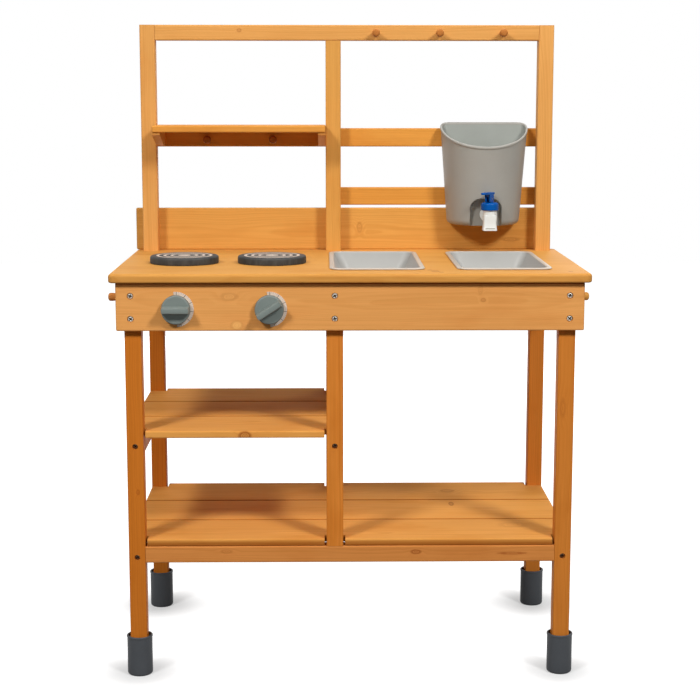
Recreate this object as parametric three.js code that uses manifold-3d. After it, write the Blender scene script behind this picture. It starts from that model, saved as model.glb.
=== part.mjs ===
// Outdoor play kitchen of stained softwood: worktop with two hobs, two knobs and two lift-out
// sinks, a slatted back frame with pegs and a hanging water tank, and shelves below.
// Millimetres, X to the right, Y to the back, Z up, standing on Z = 0.
import * as THREE from 'three';
import { mergeVertices } from 'three/addons/utils/BufferGeometryUtils.js';
import Module from 'manifold-3d';

const wasm = await Module();
wasm.setup();

// Overall sizes
const worktopWidth = 720;
const worktopDepth = 400;
const worktopHeight = 627;
const worktopThickness = 14;
const worktopEdge = 5;
const worktopCorner = 9;
const overallHeight = 1004;

// Timber sections
const stock = 25.5;
const stockEdge = 1.8;
const board = 11;
const boardEdge = 2;
const boardCorner = 2;

// Working gaps
const seat = 0.3;
const runningGap = 0.2;
const overrun = 5;

// Aprons under the worktop
const apronHeight = 72.5;
const frontOverhang = 9;
const sideOverhang = 10;

// Legs and foot caps
const centreLine = -23.5;
const capRadius = 19.4;
const capRimRadius = 20;
const capRimHeight = 3;
const capHeight = 62.5;
const capFloor = 5;
const capChamfer = 1.5;

// Shelves
const lowerRailTop = 205.5;
const middleRailTop = 374.5;
const shelfSetback = 1.5;
const plankSeam = 3;
const frontPlank = 116;
const notchGap = 3;

// Back frame
const postInset = 4;
const splashHeight = 71;
const slatGap = 5;
const lowerSlatHeight = 30;
const upperSlatHeight = 31;
const underSlatParts = 46;
const overSlatParts = 97;
const ledgeDepth = 102;
const ledgeRise = 6;
const bracketThickness = 12.5;
const bracketReachShare = 0.97;
const bracketNoseShare = 0.18;

// Pegs
const pegRadius = 6.5;
const pegNeckRadius = 5;
const pegTenonRadius = 4;
const pegTenon = 7;
const pegReach = 27;
const pegCrownShare = 0.72;
const railPegHeight = 12;
const slatPegHeight = 12.5;
const sidePegY = 136;
const sidePegHeight = 36;
const railPegFirstGap = 58.25;
const railPegLastGap = 61;
const railPegCount = 3;
const slatPegFirstGap = 84.5;
const slatPegLastGap = 88.75;
const slatPegCount = 2;

// Hobs
const hobThickness = 12;
const hobEdge = 2;
const hobSideGap = 46.5;
const hobGap = 30;
const hobSinkGap = 36.5;
const hobForward = 35;

// Knobs, dial plates and axles
const knobRadius = 21.75;
const knobBase = 9;
const knobGrip = 12.5;
const knobGripWidth = 11;
const knobEdge = 1.6;
const knobHeight = 32.7;
const knobSpread = 0.5;
const rightKnobTurn = THREE.MathUtils.degToRad(33);
const knobStandoff = 1.3;
const axleRadius = 3;
const axleHeadRadius = 6;
const axleHeadHeight = 3;
const axleEngagement = 6;
const axleFlangeRadius = 8;
const axleFlange = 1;

// Sinks
const sinkGap = 49;
const sinkSideGap = 31;
const sinkPastCentre = 7.5;
const sinkFrontY = 50;
const sinkBackGap = 75;
const sinkRim = 5.5;
const sinkRimThickness = 2.5;
const sinkRimEdge = 0.8;
const sinkCorner = 18;
const sinkDepth = 56;
const sinkInset = 26;
const sinkWall = 2;
const sinkFillet = 8;

// Water tank
const tankSideGap = 16;
const tankClearance = 45;
const tankTopHalf = 73.5;
const tankBottomHalf = 61;
const tankTopDepth = 88;
const tankBottomDepth = 72;
const tankWall = 2.5;
const tankFillet = 8;
const tankSlope = 0.466;
const tankFlatShare = 0.84;
const tankEarShare = 0.19;
const tankLip = 1;
const tankLipHeight = 4;
const archWidth = 51;
const archRise = 45;
const archCorner = 17;
const archSetback = 15;
const hookRise = 10;
const hookHalf = 60;
const hookThickness = 3;
const hookDrop = 20;
const hookRibs = 4;
const hookRibThickness = 3;

// Tap
const tapRise = 20;
const tapOffset = 4.8;
const tapReach = 26;
const shankRadius = 7;
const shankBore = 4.2;
const shankInside = 14;
const flangeRadius = 14.5;
const flangeThickness = 3;
const gasketThickness = 2;
const nutRadius = 13;
const nutThickness = 6;
const barrelRadius = 11;
const barrelBore = 8.5;
const barrelRise = 16;
const barrelDrop = 15;
const seatBore = 4;
const spoutHalf = 11.1;
const spoutFlare = 0.5;
const spoutCorner = 3;
const spoutDrop = 25.5;
const spoutWall = 2;
const spoutNeckDrop = 2;
const collarRadius = 14.5;
const collarBaseRise = 8;
const collarRise = 21;
const collarEdge = 4;
const collarRoof = 3;
const collarEdgeShare = 0.3;

// Tap stem, spring and lever
const stemRadius = 2;
const valveRadius = 6.5;
const valveThickness = 3;
const tongueHalf = 2.6;
const tongueThickness = 4;
const tongueAbovePin = 3;
const pinRadius = 1.5;
const pinHeight = 5.8;
const cheekThickness = 2.9;
const cheekNose = 4.4;
const camLift = 4.1;
const leverTravel = THREE.MathUtils.degToRad(35);
const leverTurn = THREE.MathUtils.degToRad(-35);
const paddleReach = 26;
const paddleTail = 7;
const paddleHalf = 5;
const paddleTipHalf = 4;
const paddleBottom = 7;
const paddleThickness = 3.5;
const springWire = 0.5;
const springRadius = 4.6;
const springTurns = 6;

// Seats drilled for the bolt heads
const boltSeatRadius = 5.1;
const boltSeatDepth = 3;
const apronBoltInset = 22;
const apronBoltLow = 18;
const apronBoltHigh = 52.5;
const cornerBoltShift = 8.5;
const legSeatRadius = 4.6;
const legSeatDepth = 11;
const legBoltShift = 4.5;

// A moulded floor's rounding, as shares of its fillet: inset at the floor, then rise and inset half-way up
const filletFootShare = 0.7;
const filletRiseShare = 0.3;
const filletSideShare = 0.2;

// Facets
const edgeSteps = 1;
const cornerSteps = 2;
const roundSides = 32;
const barrelSides = 16;
const nutSides = 6;
const hobSides = 36;
const capSides = 24;
const smallSides = 12;
const boltSides = 8;
const pegSides = 10;
const tankArcSteps = 16;
const tankCornerSteps = 3;
const ringCornerSteps = 4;
const camSteps = 6;
const springSteps = 8;
const springSides = 5;
const samePoint = 0.001;

// Places worked out from the sizes above
const underside = worktopHeight - worktopThickness;
const apronBottom = underside - apronHeight;
const apronOuter = worktopWidth / 2 - sideOverhang;
const legOuter = apronOuter - board;
const legInner = legOuter - stock;
const frontLegY = [frontOverhang + board, frontOverhang + board + stock];
const backPlane = worktopDepth - board;
const backLegY = [backPlane - stock, backPlane];
const centreX = [centreLine - stock / 2, centreLine + stock / 2];
const leftX = [-legOuter, -legInner];
const rightX = [legInner, legOuter];
const lowerRailZ = [lowerRailTop - stock, lowerRailTop];
const middleRailZ = [middleRailTop - stock, middleRailTop];
const lowerShelfZ = [lowerRailZ[1], lowerRailZ[1] + board];
const middleShelfZ = [middleRailZ[1], middleRailZ[1] + board];
const postOuter = apronOuter - postInset;
const postInner = postOuter - stock;
const railBottom = overallHeight - stock;
const knobZ = apronBottom + knobHeight;
const backmost = worktopDepth + seat + hookThickness;
const frontmost = frontOverhang - knobStandoff - knobBase - knobGrip;
const middleY = (frontmost + backmost) / 2;

// The two sinks share the room from the centre post to the right apron, and the two hobs the rest
const sinksFromX = centreLine - sinkPastCentre;
const sinkWidth = (legOuter - sinkSideGap - sinksFromX - sinkGap) / 2;
const sinkLength = worktopDepth - sinkFrontY - sinkBackGap;
const leftSinkX = sinksFromX + sinkWidth / 2;
const rightSinkX = leftSinkX + sinkWidth + sinkGap;
const hobsFromX = -worktopWidth / 2 + hobSideGap;
const hobRadius = (sinksFromX - hobSinkGap - hobGap - hobsFromX) / 4;
const leftHobX = hobsFromX + hobRadius;
const rightHobX = leftHobX + 2 * hobRadius + hobGap;
const hobY = worktopDepth / 2 - hobForward;
const leftKnobX = leftHobX - knobSpread;
const rightKnobX = rightHobX + knobSpread;

// Heights behind the posts: the room between the lower slat and the top rail is shared out
const splashZ = [worktopHeight, worktopHeight + splashHeight];
const lowerSlatZ = [splashZ[1] + slatGap, splashZ[1] + slatGap + lowerSlatHeight];
const slatRoom = railBottom - lowerSlatZ[1] - upperSlatHeight;
const upperSlatBottom = lowerSlatZ[1] + (slatRoom * underSlatParts) / (underSlatParts + overSlatParts);
const upperSlatZ = [upperSlatBottom, upperSlatBottom + upperSlatHeight];
const ledgeTop = upperSlatZ[1] + ledgeRise;

// The tank hangs from the upper slat over the worktop, and the tap sits low on its front
const tankX = postInner - tankSideGap - tankTopHalf;
const tapX = tankX + tapOffset;
const tankBottom = worktopHeight + tankClearance;
const tankTop = upperSlatZ[1] + hookRise;
const archTop = tankBottom + archRise;
const tapAxisZ = tankBottom + tapRise;
const barrelTop = tapAxisZ + barrelRise;
const barrelFloor = tapAxisZ - barrelDrop;
const spoutBottom = tapAxisZ - spoutDrop;
const spoutTopZ = tapAxisZ - spoutNeckDrop;
const collarBottom = tapAxisZ + collarBaseRise;
const collarTop = tapAxisZ + collarRise;

const X = new THREE.Vector3(1, 0, 0);
const Y = new THREE.Vector3(0, 1, 0);
const Z = new THREE.Vector3(0, 0, 1);

// Materials
function finish(color, roughness, metalness = 0) {
  return new THREE.MeshStandardMaterial({ color, roughness, metalness });
}
const honeyWood = finish(0xdf9a4c, 0.6);
const amberWood = finish(0xc47a32, 0.6);
const slateCap = finish(0x484b4f, 0.55);
const charcoal = finish(0x3a3c3d, 0.75);
const knobPlastic = finish(0x78847f, 0.45);
const sinkPlastic = finish(0xbebebc, 0.4);
const tankPlastic = finish(0x96948c, 0.5);
const tapWhite = finish(0xebe7e1, 0.35);
const tapBlue = finish(0x004ba0, 0.35);
const sealRubber = finish(0x26262a, 0.8);
const zincSteel = finish(0xc4c4c0, 0.35, 0.9);

// Solids and boolean work
function solidOf(geometry) {
  const bare = new THREE.BufferGeometry();
  bare.setAttribute('position', geometry.getAttribute('position').clone());
  if (geometry.index) bare.setIndex(geometry.index.clone());
  const merged = mergeVertices(bare);
  const corners = [];
  const index = merged.index.array;
  for (let i = 0; i < index.length; i += 3) {
    const [a, b, c] = [index[i], index[i + 1], index[i + 2]];
    if (a !== b && b !== c && c !== a) corners.push(a, b, c);
  }
  const mesh = new wasm.Mesh({
    numProp: 3,
    vertProperties: Float32Array.from(merged.getAttribute('position').array),
    triVerts: Uint32Array.from(corners),
  });
  return new wasm.Manifold(mesh);
}

function geometryOf(solid) {
  const mesh = solid.getMesh();
  const geometry = new THREE.BufferGeometry();
  geometry.setAttribute('position', new THREE.BufferAttribute(mesh.vertProperties.slice(), 3));
  geometry.setIndex(new THREE.BufferAttribute(mesh.triVerts.slice(), 1));
  return geometry;
}

function cut(geometry, ...tools) {
  let solid = solidOf(geometry);
  for (const tool of tools) solid = solid.subtract(solidOf(tool));
  return geometryOf(solid);
}

function join(geometry, ...others) {
  let solid = solidOf(geometry);
  for (const other of others) solid = solid.add(solidOf(other));
  return geometryOf(solid);
}

function common(geometry, other) {
  return geometryOf(solidOf(geometry).intersect(solidOf(other)));
}

function boxOf(geometry) {
  geometry.computeBoundingBox();
  return geometry.boundingBox;
}

// Shapes and extrusions along the three axes
const axisFrames = {
  x: new THREE.Matrix4().makeBasis(Y, Z, X),
  y: new THREE.Matrix4().makeBasis(Z, X, Y),
  z: new THREE.Matrix4().identity(),
};

function roundedRect(u, v, radius) {
  const shape = new THREE.Shape();
  shape.moveTo(u[0] + radius, v[0]);
  shape.lineTo(u[1] - radius, v[0]);
  shape.absarc(u[1] - radius, v[0] + radius, radius, -Math.PI / 2, 0);
  shape.lineTo(u[1], v[1] - radius);
  shape.absarc(u[1] - radius, v[1] - radius, radius, 0, Math.PI / 2);
  shape.lineTo(u[0] + radius, v[1]);
  shape.absarc(u[0] + radius, v[1] - radius, radius, Math.PI / 2, Math.PI);
  shape.lineTo(u[0], v[0] + radius);
  shape.absarc(u[0] + radius, v[0] + radius, radius, Math.PI, Math.PI * 3 / 2);
  return shape;
}

function prism(axis, shape, span, steps = cornerSteps) {
  const depth = span[1] - span[0];
  const geometry = new THREE.ExtrudeGeometry(shape, { depth, bevelEnabled: false, curveSegments: steps });
  geometry.translate(0, 0, span[0]);
  return geometry.applyMatrix4(axisFrames[axis]);
}

function panel(axis, shape, span, edge, steps = cornerSteps) {
  const geometry = new THREE.ExtrudeGeometry(shape, {
    depth: span[1] - span[0] - 2 * edge,
    bevelThickness: edge,
    bevelSize: edge,
    bevelOffset: -edge,
    bevelSegments: edgeSteps + 1,
    curveSegments: steps,
  });
  geometry.translate(0, 0, span[0] + edge);
  return geometry.applyMatrix4(axisFrames[axis]);
}

function spansFor(axis, x, y, z) {
  if (axis === 'x') return [y, z, x];
  if (axis === 'y') return [z, x, y];
  return [x, y, z];
}

// A length of square or flat timber along an axis, with its long edges eased.
function bar(axis, x, y, z, edge = stockEdge) {
  const [u, v, w] = spansFor(axis, x, y, z);
  return prism(axis, roundedRect(u, v, edge), w, edgeSteps);
}

// A board whose faces look along an axis, eased all round.
function plank(axis, x, y, z) {
  const [u, v, w] = spansFor(axis, x, y, z);
  return panel(axis, roundedRect(u, v, boardCorner), w, boardEdge, edgeSteps);
}

function block(x, y, z) {
  const geometry = new THREE.BoxGeometry(x[1] - x[0], y[1] - y[0], z[1] - z[0]);
  return geometry.translate((x[0] + x[1]) / 2, (y[0] + y[1]) / 2, (z[0] + z[1]) / 2);
}

// A turned piece: profile points are [radius, height along the direction].
function turned(profile, sides, origin, direction = Z) {
  const points = profile.map(([radius, height]) => new THREE.Vector2(radius, height));
  const geometry = new THREE.LatheGeometry(points, sides);
  geometry.applyQuaternion(new THREE.Quaternion().setFromUnitVectors(Y, direction));
  return geometry.translate(origin.x, origin.y, origin.z);
}

function rod(radius, from, to, sides, origin, direction = Z) {
  return turned([[0, from], [radius, from], [radius, to], [0, to]], sides, origin, direction);
}

// A closed body between rings of points, lowest ring first, each running anticlockwise from above.
function loft(rings) {
  const count = rings[0].length;
  const positions = [];
  const index = [];
  for (const ring of rings) for (const point of ring) positions.push(point.x, point.y, point.z);
  for (let level = 0; level + 1 < rings.length; level += 1) {
    for (let i = 0; i < count; i += 1) {
      const a = level * count + i;
      const b = level * count + (i + 1) % count;
      index.push(a, b, b + count, a, b + count, a + count);
    }
  }
  const flat = rings[0].map((point) => new THREE.Vector2(point.x, point.y));
  const last = (rings.length - 1) * count;
  for (const [a, b, c] of THREE.ShapeUtils.triangulateShape(flat, [])) {
    index.push(a, c, b);
    index.push(last + a, last + b, last + c);
  }
  const geometry = new THREE.BufferGeometry();
  geometry.setAttribute('position', new THREE.Float32BufferAttribute(positions, 3));
  geometry.setIndex(index);
  return geometry;
}

function ringOf(shape, z, steps = ringCornerSteps) {
  const points = shape.extractPoints(steps).shape;
  const open = points.filter((point, i) => point.distanceTo(points[(i + 1) % points.length]) > samePoint);
  return open.map((point) => new THREE.Vector3(point.x, point.y, z));
}

function at(x, y, z) {
  return new THREE.Vector3(x, y, z);
}
const intoBack = Y.clone();
const intoFront = Y.clone().negate();
const intoRight = X.clone();
const intoLeft = X.clone().negate();

// Bolt seats: blind holes that take the heads of the bolts below the timber's surface
const boltSeats = [];
function boltSeat(radius, depth, point, direction) {
  boltSeats.push(rod(radius, -overrun, depth, boltSides, point, direction));
}
function drilled(geometry) {
  const box = boxOf(geometry).clone();
  return cut(geometry, ...boltSeats.filter((tool) => boxOf(tool).intersectsBox(box)));
}

// Aprons: front and back into every leg, sides into the corner legs
for (const x of [-apronOuter + apronBoltInset, centreLine, apronOuter - apronBoltInset]) {
  for (const lift of [apronBoltLow, apronBoltHigh]) {
    boltSeat(boltSeatRadius, boltSeatDepth, at(x, frontOverhang, apronBottom + lift), intoBack);
    boltSeat(boltSeatRadius, boltSeatDepth, at(x, worktopDepth, apronBottom + lift), intoFront);
  }
}
const frontLegMiddle = (frontLegY[0] + frontLegY[1]) / 2;
const backLegMiddle = (backLegY[0] + backLegY[1]) / 2;
for (const y of [frontLegMiddle, backLegMiddle]) {
  for (const lift of [apronBoltLow + cornerBoltShift, apronBoltHigh - cornerBoltShift]) {
    boltSeat(boltSeatRadius, boltSeatDepth, at(-apronOuter, y, apronBottom + lift), intoRight);
    boltSeat(boltSeatRadius, boltSeatDepth, at(apronOuter, y, apronBottom + lift), intoLeft);
  }
}

// Legs: deep seats for the bolts that run on into the ends of the shelf rails
const lowerBoltZ = (lowerRailZ[0] + lowerRailZ[1]) / 2;
const middleBoltZ = (middleRailZ[0] + middleRailZ[1]) / 2;
const legMiddleX = (legOuter + legInner) / 2;
const railEnds = [
  [-legMiddleX, lowerBoltZ - legBoltShift],
  [legMiddleX, lowerBoltZ - legBoltShift],
  [-legMiddleX, middleBoltZ],
  [centreLine, middleBoltZ],
];
for (const [x, z] of railEnds) {
  boltSeat(legSeatRadius, legSeatDepth, at(x, frontLegY[0], z), intoBack);
  boltSeat(legSeatRadius, legSeatDepth, at(x, backLegY[1], z), intoFront);
}
for (const y of [frontLegMiddle, backLegMiddle]) {
  boltSeat(legSeatRadius, legSeatDepth, at(-legOuter, y, lowerBoltZ + legBoltShift), intoRight);
  boltSeat(legSeatRadius, legSeatDepth, at(legOuter, y, lowerBoltZ + legBoltShift), intoLeft);
  boltSeat(legSeatRadius, legSeatDepth, at(centreLine, y, lowerRailZ[0]), Z);
}

// Posts: the same seats where bolts run into the top rail
const railMiddleZ = (railBottom + overallHeight) / 2;
boltSeat(legSeatRadius, legSeatDepth, at(-postOuter, backLegMiddle, railMiddleZ), intoRight);
boltSeat(legSeatRadius, legSeatDepth, at(postOuter, backLegMiddle, railMiddleZ), intoLeft);
boltSeat(legSeatRadius, legSeatDepth, at(centreLine, backLegMiddle, overallHeight), Z.clone().negate());

// The run of the shelf planks
const plankStart = frontLegY[0] + shelfSetback;
const rearPlank = (backPlane - plankStart - frontPlank - 2 * plankSeam) / 2;
const plankSpans = [
  [plankStart, plankStart + frontPlank],
  [plankStart + frontPlank + plankSeam, plankStart + frontPlank + plankSeam + rearPlank],
  [backPlane - rearPlank, backPlane],
];

// The scene graph
const kitchen = new THREE.Group();
kitchen.name = 'mud_kitchen';
kitchen.position.y = -middleY;

function section(name, parent = kitchen) {
  const group = new THREE.Group();
  group.name = name;
  parent.add(group);
  return group;
}

// A named piece, its geometry drawn about its own middle and placed by its position.
function piece(parent, name, geometry, material) {
  const middle = boxOf(geometry).getCenter(new THREE.Vector3());
  geometry.translate(-middle.x, -middle.y, -middle.z);
  const mesh = new THREE.Mesh(geometry, material);
  mesh.name = name;
  mesh.position.copy(middle);
  parent.add(mesh);
  return mesh;
}

function bareGeometry(geometry) {
  return geometryOf(solidOf(geometry));
}

// Legs and foot caps
const base = section('base');
const cornerLegZ = [capFloor, underside];
const centreLegZ = [lowerRailZ[1], underside];

function leg(name, x, y, z) {
  piece(base, name, drilled(bar('z', x, y, z)), amberWood);
}
leg('front_left_leg', leftX, frontLegY, cornerLegZ);
leg('front_right_leg', rightX, frontLegY, cornerLegZ);
leg('front_centre_leg', centreX, frontLegY, centreLegZ);
leg('back_left_leg', leftX, backLegY, cornerLegZ);
leg('back_right_leg', rightX, backLegY, cornerLegZ);
leg('back_centre_leg', centreX, backLegY, centreLegZ);

function footCap(name, x, y) {
  const profile = [
    [0, 0],
    [capRadius - capChamfer, 0],
    [capRadius, capChamfer],
    [capRadius, capHeight - capRimHeight],
    [capRimRadius, capHeight - capRimHeight],
    [capRimRadius, capHeight],
    [0, capHeight],
  ];
  const middle = at((x[0] + x[1]) / 2, (y[0] + y[1]) / 2, 0);
  const shell = turned(profile, capSides, middle);
  const pocket = block(
    [x[0] - seat, x[1] + seat],
    [y[0] - seat, y[1] + seat],
    [capFloor, capHeight + overrun],
  );
  piece(base, name, cut(shell, pocket), slateCap);
}
footCap('front_left_foot_cap', leftX, frontLegY);
footCap('front_right_foot_cap', rightX, frontLegY);
footCap('back_left_foot_cap', leftX, backLegY);
footCap('back_right_foot_cap', rightX, backLegY);

// Aprons
const apronZ = [apronBottom, underside];
const sideApronY = [frontLegY[0], backPlane];
const knobAxleHoles = [leftKnobX, rightKnobX].map((x) => (
  rod(axleRadius + runningGap, -overrun, board + overrun, smallSides, at(x, frontOverhang, knobZ), Y)
));
const sidePegHoles = [intoRight, intoLeft].map((way) => (
  rod(pegTenonRadius + seat, -overrun, pegTenon + seat, pegSides,
    at(-way.x * apronOuter, sidePegY, apronBottom + sidePegHeight), way)
));
const frontApron = drilled(plank('y', [-apronOuter, apronOuter], [frontOverhang, frontLegY[0]], apronZ));
piece(base, 'front_apron', cut(frontApron, ...knobAxleHoles), honeyWood);
const backApron = plank('y', [-apronOuter, apronOuter], [backPlane, worktopDepth], apronZ);
piece(base, 'back_apron', drilled(backApron), honeyWood);
const leftApron = drilled(plank('x', [-apronOuter, -legOuter], sideApronY, apronZ));
piece(base, 'left_apron', cut(leftApron, sidePegHoles[0]), honeyWood);
const rightApron = drilled(plank('x', [legOuter, apronOuter], sideApronY, apronZ));
piece(base, 'right_apron', cut(rightApron, sidePegHoles[1]), honeyWood);

// Shelf rails
const betweenLegsX = [-legInner, legInner];
const betweenLegsY = [frontLegY[1], backLegY[0]];
function rail(name, axis, x, y, z) {
  piece(base, name, drilled(bar(axis, x, y, z)), honeyWood);
}
rail('lower_front_rail', 'x', betweenLegsX, frontLegY, lowerRailZ);
rail('lower_back_rail', 'x', betweenLegsX, backLegY, lowerRailZ);
rail('lower_left_rail', 'y', leftX, betweenLegsY, lowerRailZ);
rail('lower_right_rail', 'y', rightX, betweenLegsY, lowerRailZ);
rail('middle_left_rail', 'y', leftX, betweenLegsY, middleRailZ);
rail('middle_centre_rail', 'y', centreX, betweenLegsY, middleRailZ);

// Shelf planks, the outer two notched round the legs
function shelf(name, x, z, legs) {
  const notches = [];
  for (const legSpan of legs) {
    for (const y of [frontLegY, backLegY]) {
      const notchX = [legSpan[0] - notchGap, legSpan[1] + notchGap];
      const reach = y === frontLegY ? [y[0] - overrun, y[1] + seat] : [y[0] - seat, y[1] + overrun];
      notches.push(block(notchX, reach, [z[0] - overrun, z[1] + overrun]));
    }
  }
  const rows = ['front', 'middle', 'back'];
  rows.forEach((row, i) => {
    const wood = plank('z', x, plankSpans[i], z);
    const box = boxOf(wood).clone();
    const near = notches.filter((notch) => boxOf(notch).intersectsBox(box));
    piece(base, `${name}_${row}_plank`, cut(wood, ...near), honeyWood);
  });
}
shelf('lower_shelf', [-legOuter, legOuter], lowerShelfZ, [leftX, centreX, rightX]);
shelf('middle_shelf', [-legOuter, centreX[1]], middleShelfZ, [leftX, centreX]);

// Worktop with its two cut-outs
const top = section('worktop');
const sinkY = [sinkFrontY, sinkFrontY + sinkLength];
function sinkOutline(x, inset) {
  const half = sinkWidth / 2 - inset;
  const corner = sinkCorner * (1 - inset / sinkWidth);
  return roundedRect([x - half, x + half], [sinkY[0] + inset, sinkY[1] - inset], corner);
}
const worktopShape = roundedRect([-worktopWidth / 2, worktopWidth / 2], [0, worktopDepth], worktopCorner);
const worktopZ = [underside, worktopHeight];
const cutOuts = [leftSinkX, rightSinkX].map((x) => (
  prism('z', sinkOutline(x, sinkRim - seat), [underside - overrun, worktopHeight + overrun])
));
piece(top, 'worktop', cut(panel('z', worktopShape, worktopZ, worktopEdge), ...cutOuts), honeyWood);

// Hobs
function hob(name, x) {
  const disc = turned([
    [0, 0],
    [hobRadius, 0],
    [hobRadius, hobThickness - hobEdge],
    [hobRadius - hobEdge / 3, hobThickness - hobEdge / 3],
    [hobRadius - hobEdge, hobThickness],
    [0, hobThickness],
  ], hobSides, at(x, hobY, worktopHeight));
  piece(top, name, bareGeometry(disc), charcoal);
}
hob('left_hob', leftHobX);
hob('right_hob', rightHobX);

// Sinks: a tapered basin under a flat rim that rests on the worktop
function sinkBasin(x, wall, floor, lid) {
  const drop = sinkDepth - sinkWall;
  const rings = [];
  const levels = [
    [floor, sinkInset + sinkFillet * filletFootShare],
    [floor + sinkFillet * filletRiseShare, sinkInset + sinkFillet * filletSideShare],
    [floor + sinkFillet, sinkInset * (1 - sinkFillet / drop)],
    [lid, 0],
  ];
  for (const [z, inset] of levels) rings.push(ringOf(sinkOutline(x, sinkRim + wall + inset), z));
  return loft(rings);
}
function sink(name, x) {
  const rimZ = [worktopHeight + seat, worktopHeight + seat + sinkRimThickness];
  const rim = panel('z', sinkOutline(x, 0), rimZ, sinkRimEdge);
  const floor = rimZ[1] - sinkDepth;
  const outer = sinkBasin(x, 0, floor, rimZ[0] + sinkRimThickness / 2);
  const inner = sinkBasin(x, sinkWall, floor + sinkWall, rimZ[1] + seat);
  piece(top, name, cut(join(outer, rim), inner), sinkPlastic);
}
sink('left_sink', leftSinkX);
sink('right_sink', rightSinkX);

// Knobs: a round base with a full-width grip bar, turning on an axle through the apron
const controls = section('controls');
const knobBack = frontOverhang - knobStandoff;
function knob(name, x, turn) {
  const centre = at(x, knobBack, knobZ);
  const shell = turned([
    [0, 0],
    [knobRadius, 0],
    [knobRadius, knobBase - knobEdge],
    [knobRadius - knobEdge / 3, knobBase - knobEdge / 3],
    [knobRadius - knobEdge, knobBase],
    [0, knobBase],
  ], roundSides, centre, intoFront);
  const gripX = [-knobRadius, knobRadius];
  const gripZ = [-knobGripWidth / 2, knobGripWidth / 2];
  const gripY = [-knobBase - knobGrip, -knobBase / 3];
  const grip = panel('x', roundedRect(gripY, gripZ, 2 * knobEdge), gripX, knobEdge);
  grip.rotateY(-turn);
  grip.translate(centre.x, centre.y, centre.z);
  const gripRadius = knobRadius - knobEdge / 2;
  const envelope = rod(gripRadius, 0, knobBase + knobGrip + overrun, roundSides, centre, intoFront);
  const bore = rod(axleRadius + seat, -overrun, axleEngagement + seat, smallSides, centre, intoFront);
  piece(controls, name, cut(join(shell, common(grip, envelope)), bore), knobPlastic);
}
knob('left_knob', leftKnobX, 0);
knob('right_knob', rightKnobX, rightKnobTurn);

function knobAxle(name, x) {
  const behind = frontLegY[0] + seat;
  const reach = behind - knobBack + axleEngagement;
  const profile = [
    [0, -axleFlange - axleHeadHeight],
    [axleHeadRadius, -axleFlange - axleHeadHeight],
    [axleHeadRadius, -axleFlange],
    [axleFlangeRadius, -axleFlange],
    [axleFlangeRadius, 0],
    [axleRadius, 0],
    [axleRadius, reach],
    [0, reach],
  ];
  const axle = turned(profile, smallSides, at(x, behind, knobZ), intoFront);
  piece(controls, name, bareGeometry(axle), zincSteel);
}
knobAxle('left_knob_axle', leftKnobX);
knobAxle('right_knob_axle', rightKnobX);

// Back frame
const frame = section('back_frame');
const postZ = [worktopHeight, overallHeight];
function post(name, x, z) {
  piece(frame, name, drilled(bar('z', x, backLegY, z)), honeyWood);
}
post('left_post', [-postOuter, -postInner], postZ);
post('right_post', [postInner, postOuter], postZ);
post('centre_post', centreX, [worktopHeight, railBottom]);

// Pegs: turned with a tenon, a slim neck and a domed head
function peg(point, way, shoulder = seat) {
  const crown = pegRadius / 2;
  return turned([
    [0, -pegReach],
    [pegRadius * pegCrownShare, -pegReach + crown / 4],
    [pegRadius, -pegReach + crown],
    [pegRadius, -pegReach + 2 * crown],
    [pegNeckRadius, -pegReach / 3],
    [pegNeckRadius, -shoulder],
    [pegTenonRadius, -shoulder],
    [pegTenonRadius, pegTenon],
    [0, pegTenon],
  ], pegSides, point, way);
}
function pegRow(from, to, count, y, z) {
  const pitch = (to - from) / (count - 1);
  return Array.from({ length: count }, (_, i) => at(from + i * pitch, y, z));
}
const railPegs = pegRow(centreX[1] + railPegFirstGap, postInner - railPegLastGap, railPegCount,
  backLegY[0], railBottom + railPegHeight);
const slatPegs = pegRow(-postInner + slatPegFirstGap, centreX[0] - slatPegLastGap, slatPegCount,
  backPlane, upperSlatBottom + slatPegHeight);
const pegHoles = railPegs.map((point) => (
  rod(pegTenonRadius + seat, -overrun, pegTenon + seat, pegSides, point, intoBack)
));
const topRail = bar('x', [-postInner, postInner], backLegY, [railBottom, overallHeight]);
piece(frame, 'top_rail', cut(drilled(topRail), ...pegHoles), honeyWood);
const pegNames = ['left', 'middle', 'right'];
railPegs.forEach((point, i) => {
  piece(frame, `top_rail_peg_${pegNames[i] ?? i}`, bareGeometry(peg(point, intoBack)), amberWood);
});
const backBoardY = [backPlane, worktopDepth];
const splash = plank('y', [-worktopWidth / 2, postOuter], backBoardY, splashZ);
piece(frame, 'splash_panel', bareGeometry(splash), honeyWood);
const lowerSlat = plank('y', [centreX[0], postOuter], backBoardY, lowerSlatZ);
piece(frame, 'lower_slat', bareGeometry(lowerSlat), honeyWood);

// Small shelf on two triangular brackets
const ledgeX = [-postInner, centreX[0]];
const ledgeZ = [ledgeTop - board, ledgeTop];
const ledgeY = [backPlane - ledgeDepth, backPlane];
const bracketXs = [[ledgeX[0], ledgeX[0] + bracketThickness], [ledgeX[1] - bracketThickness, ledgeX[1]]];
const upperSlat = plank('y', [-postOuter, postOuter], backBoardY, upperSlatZ);
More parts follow.
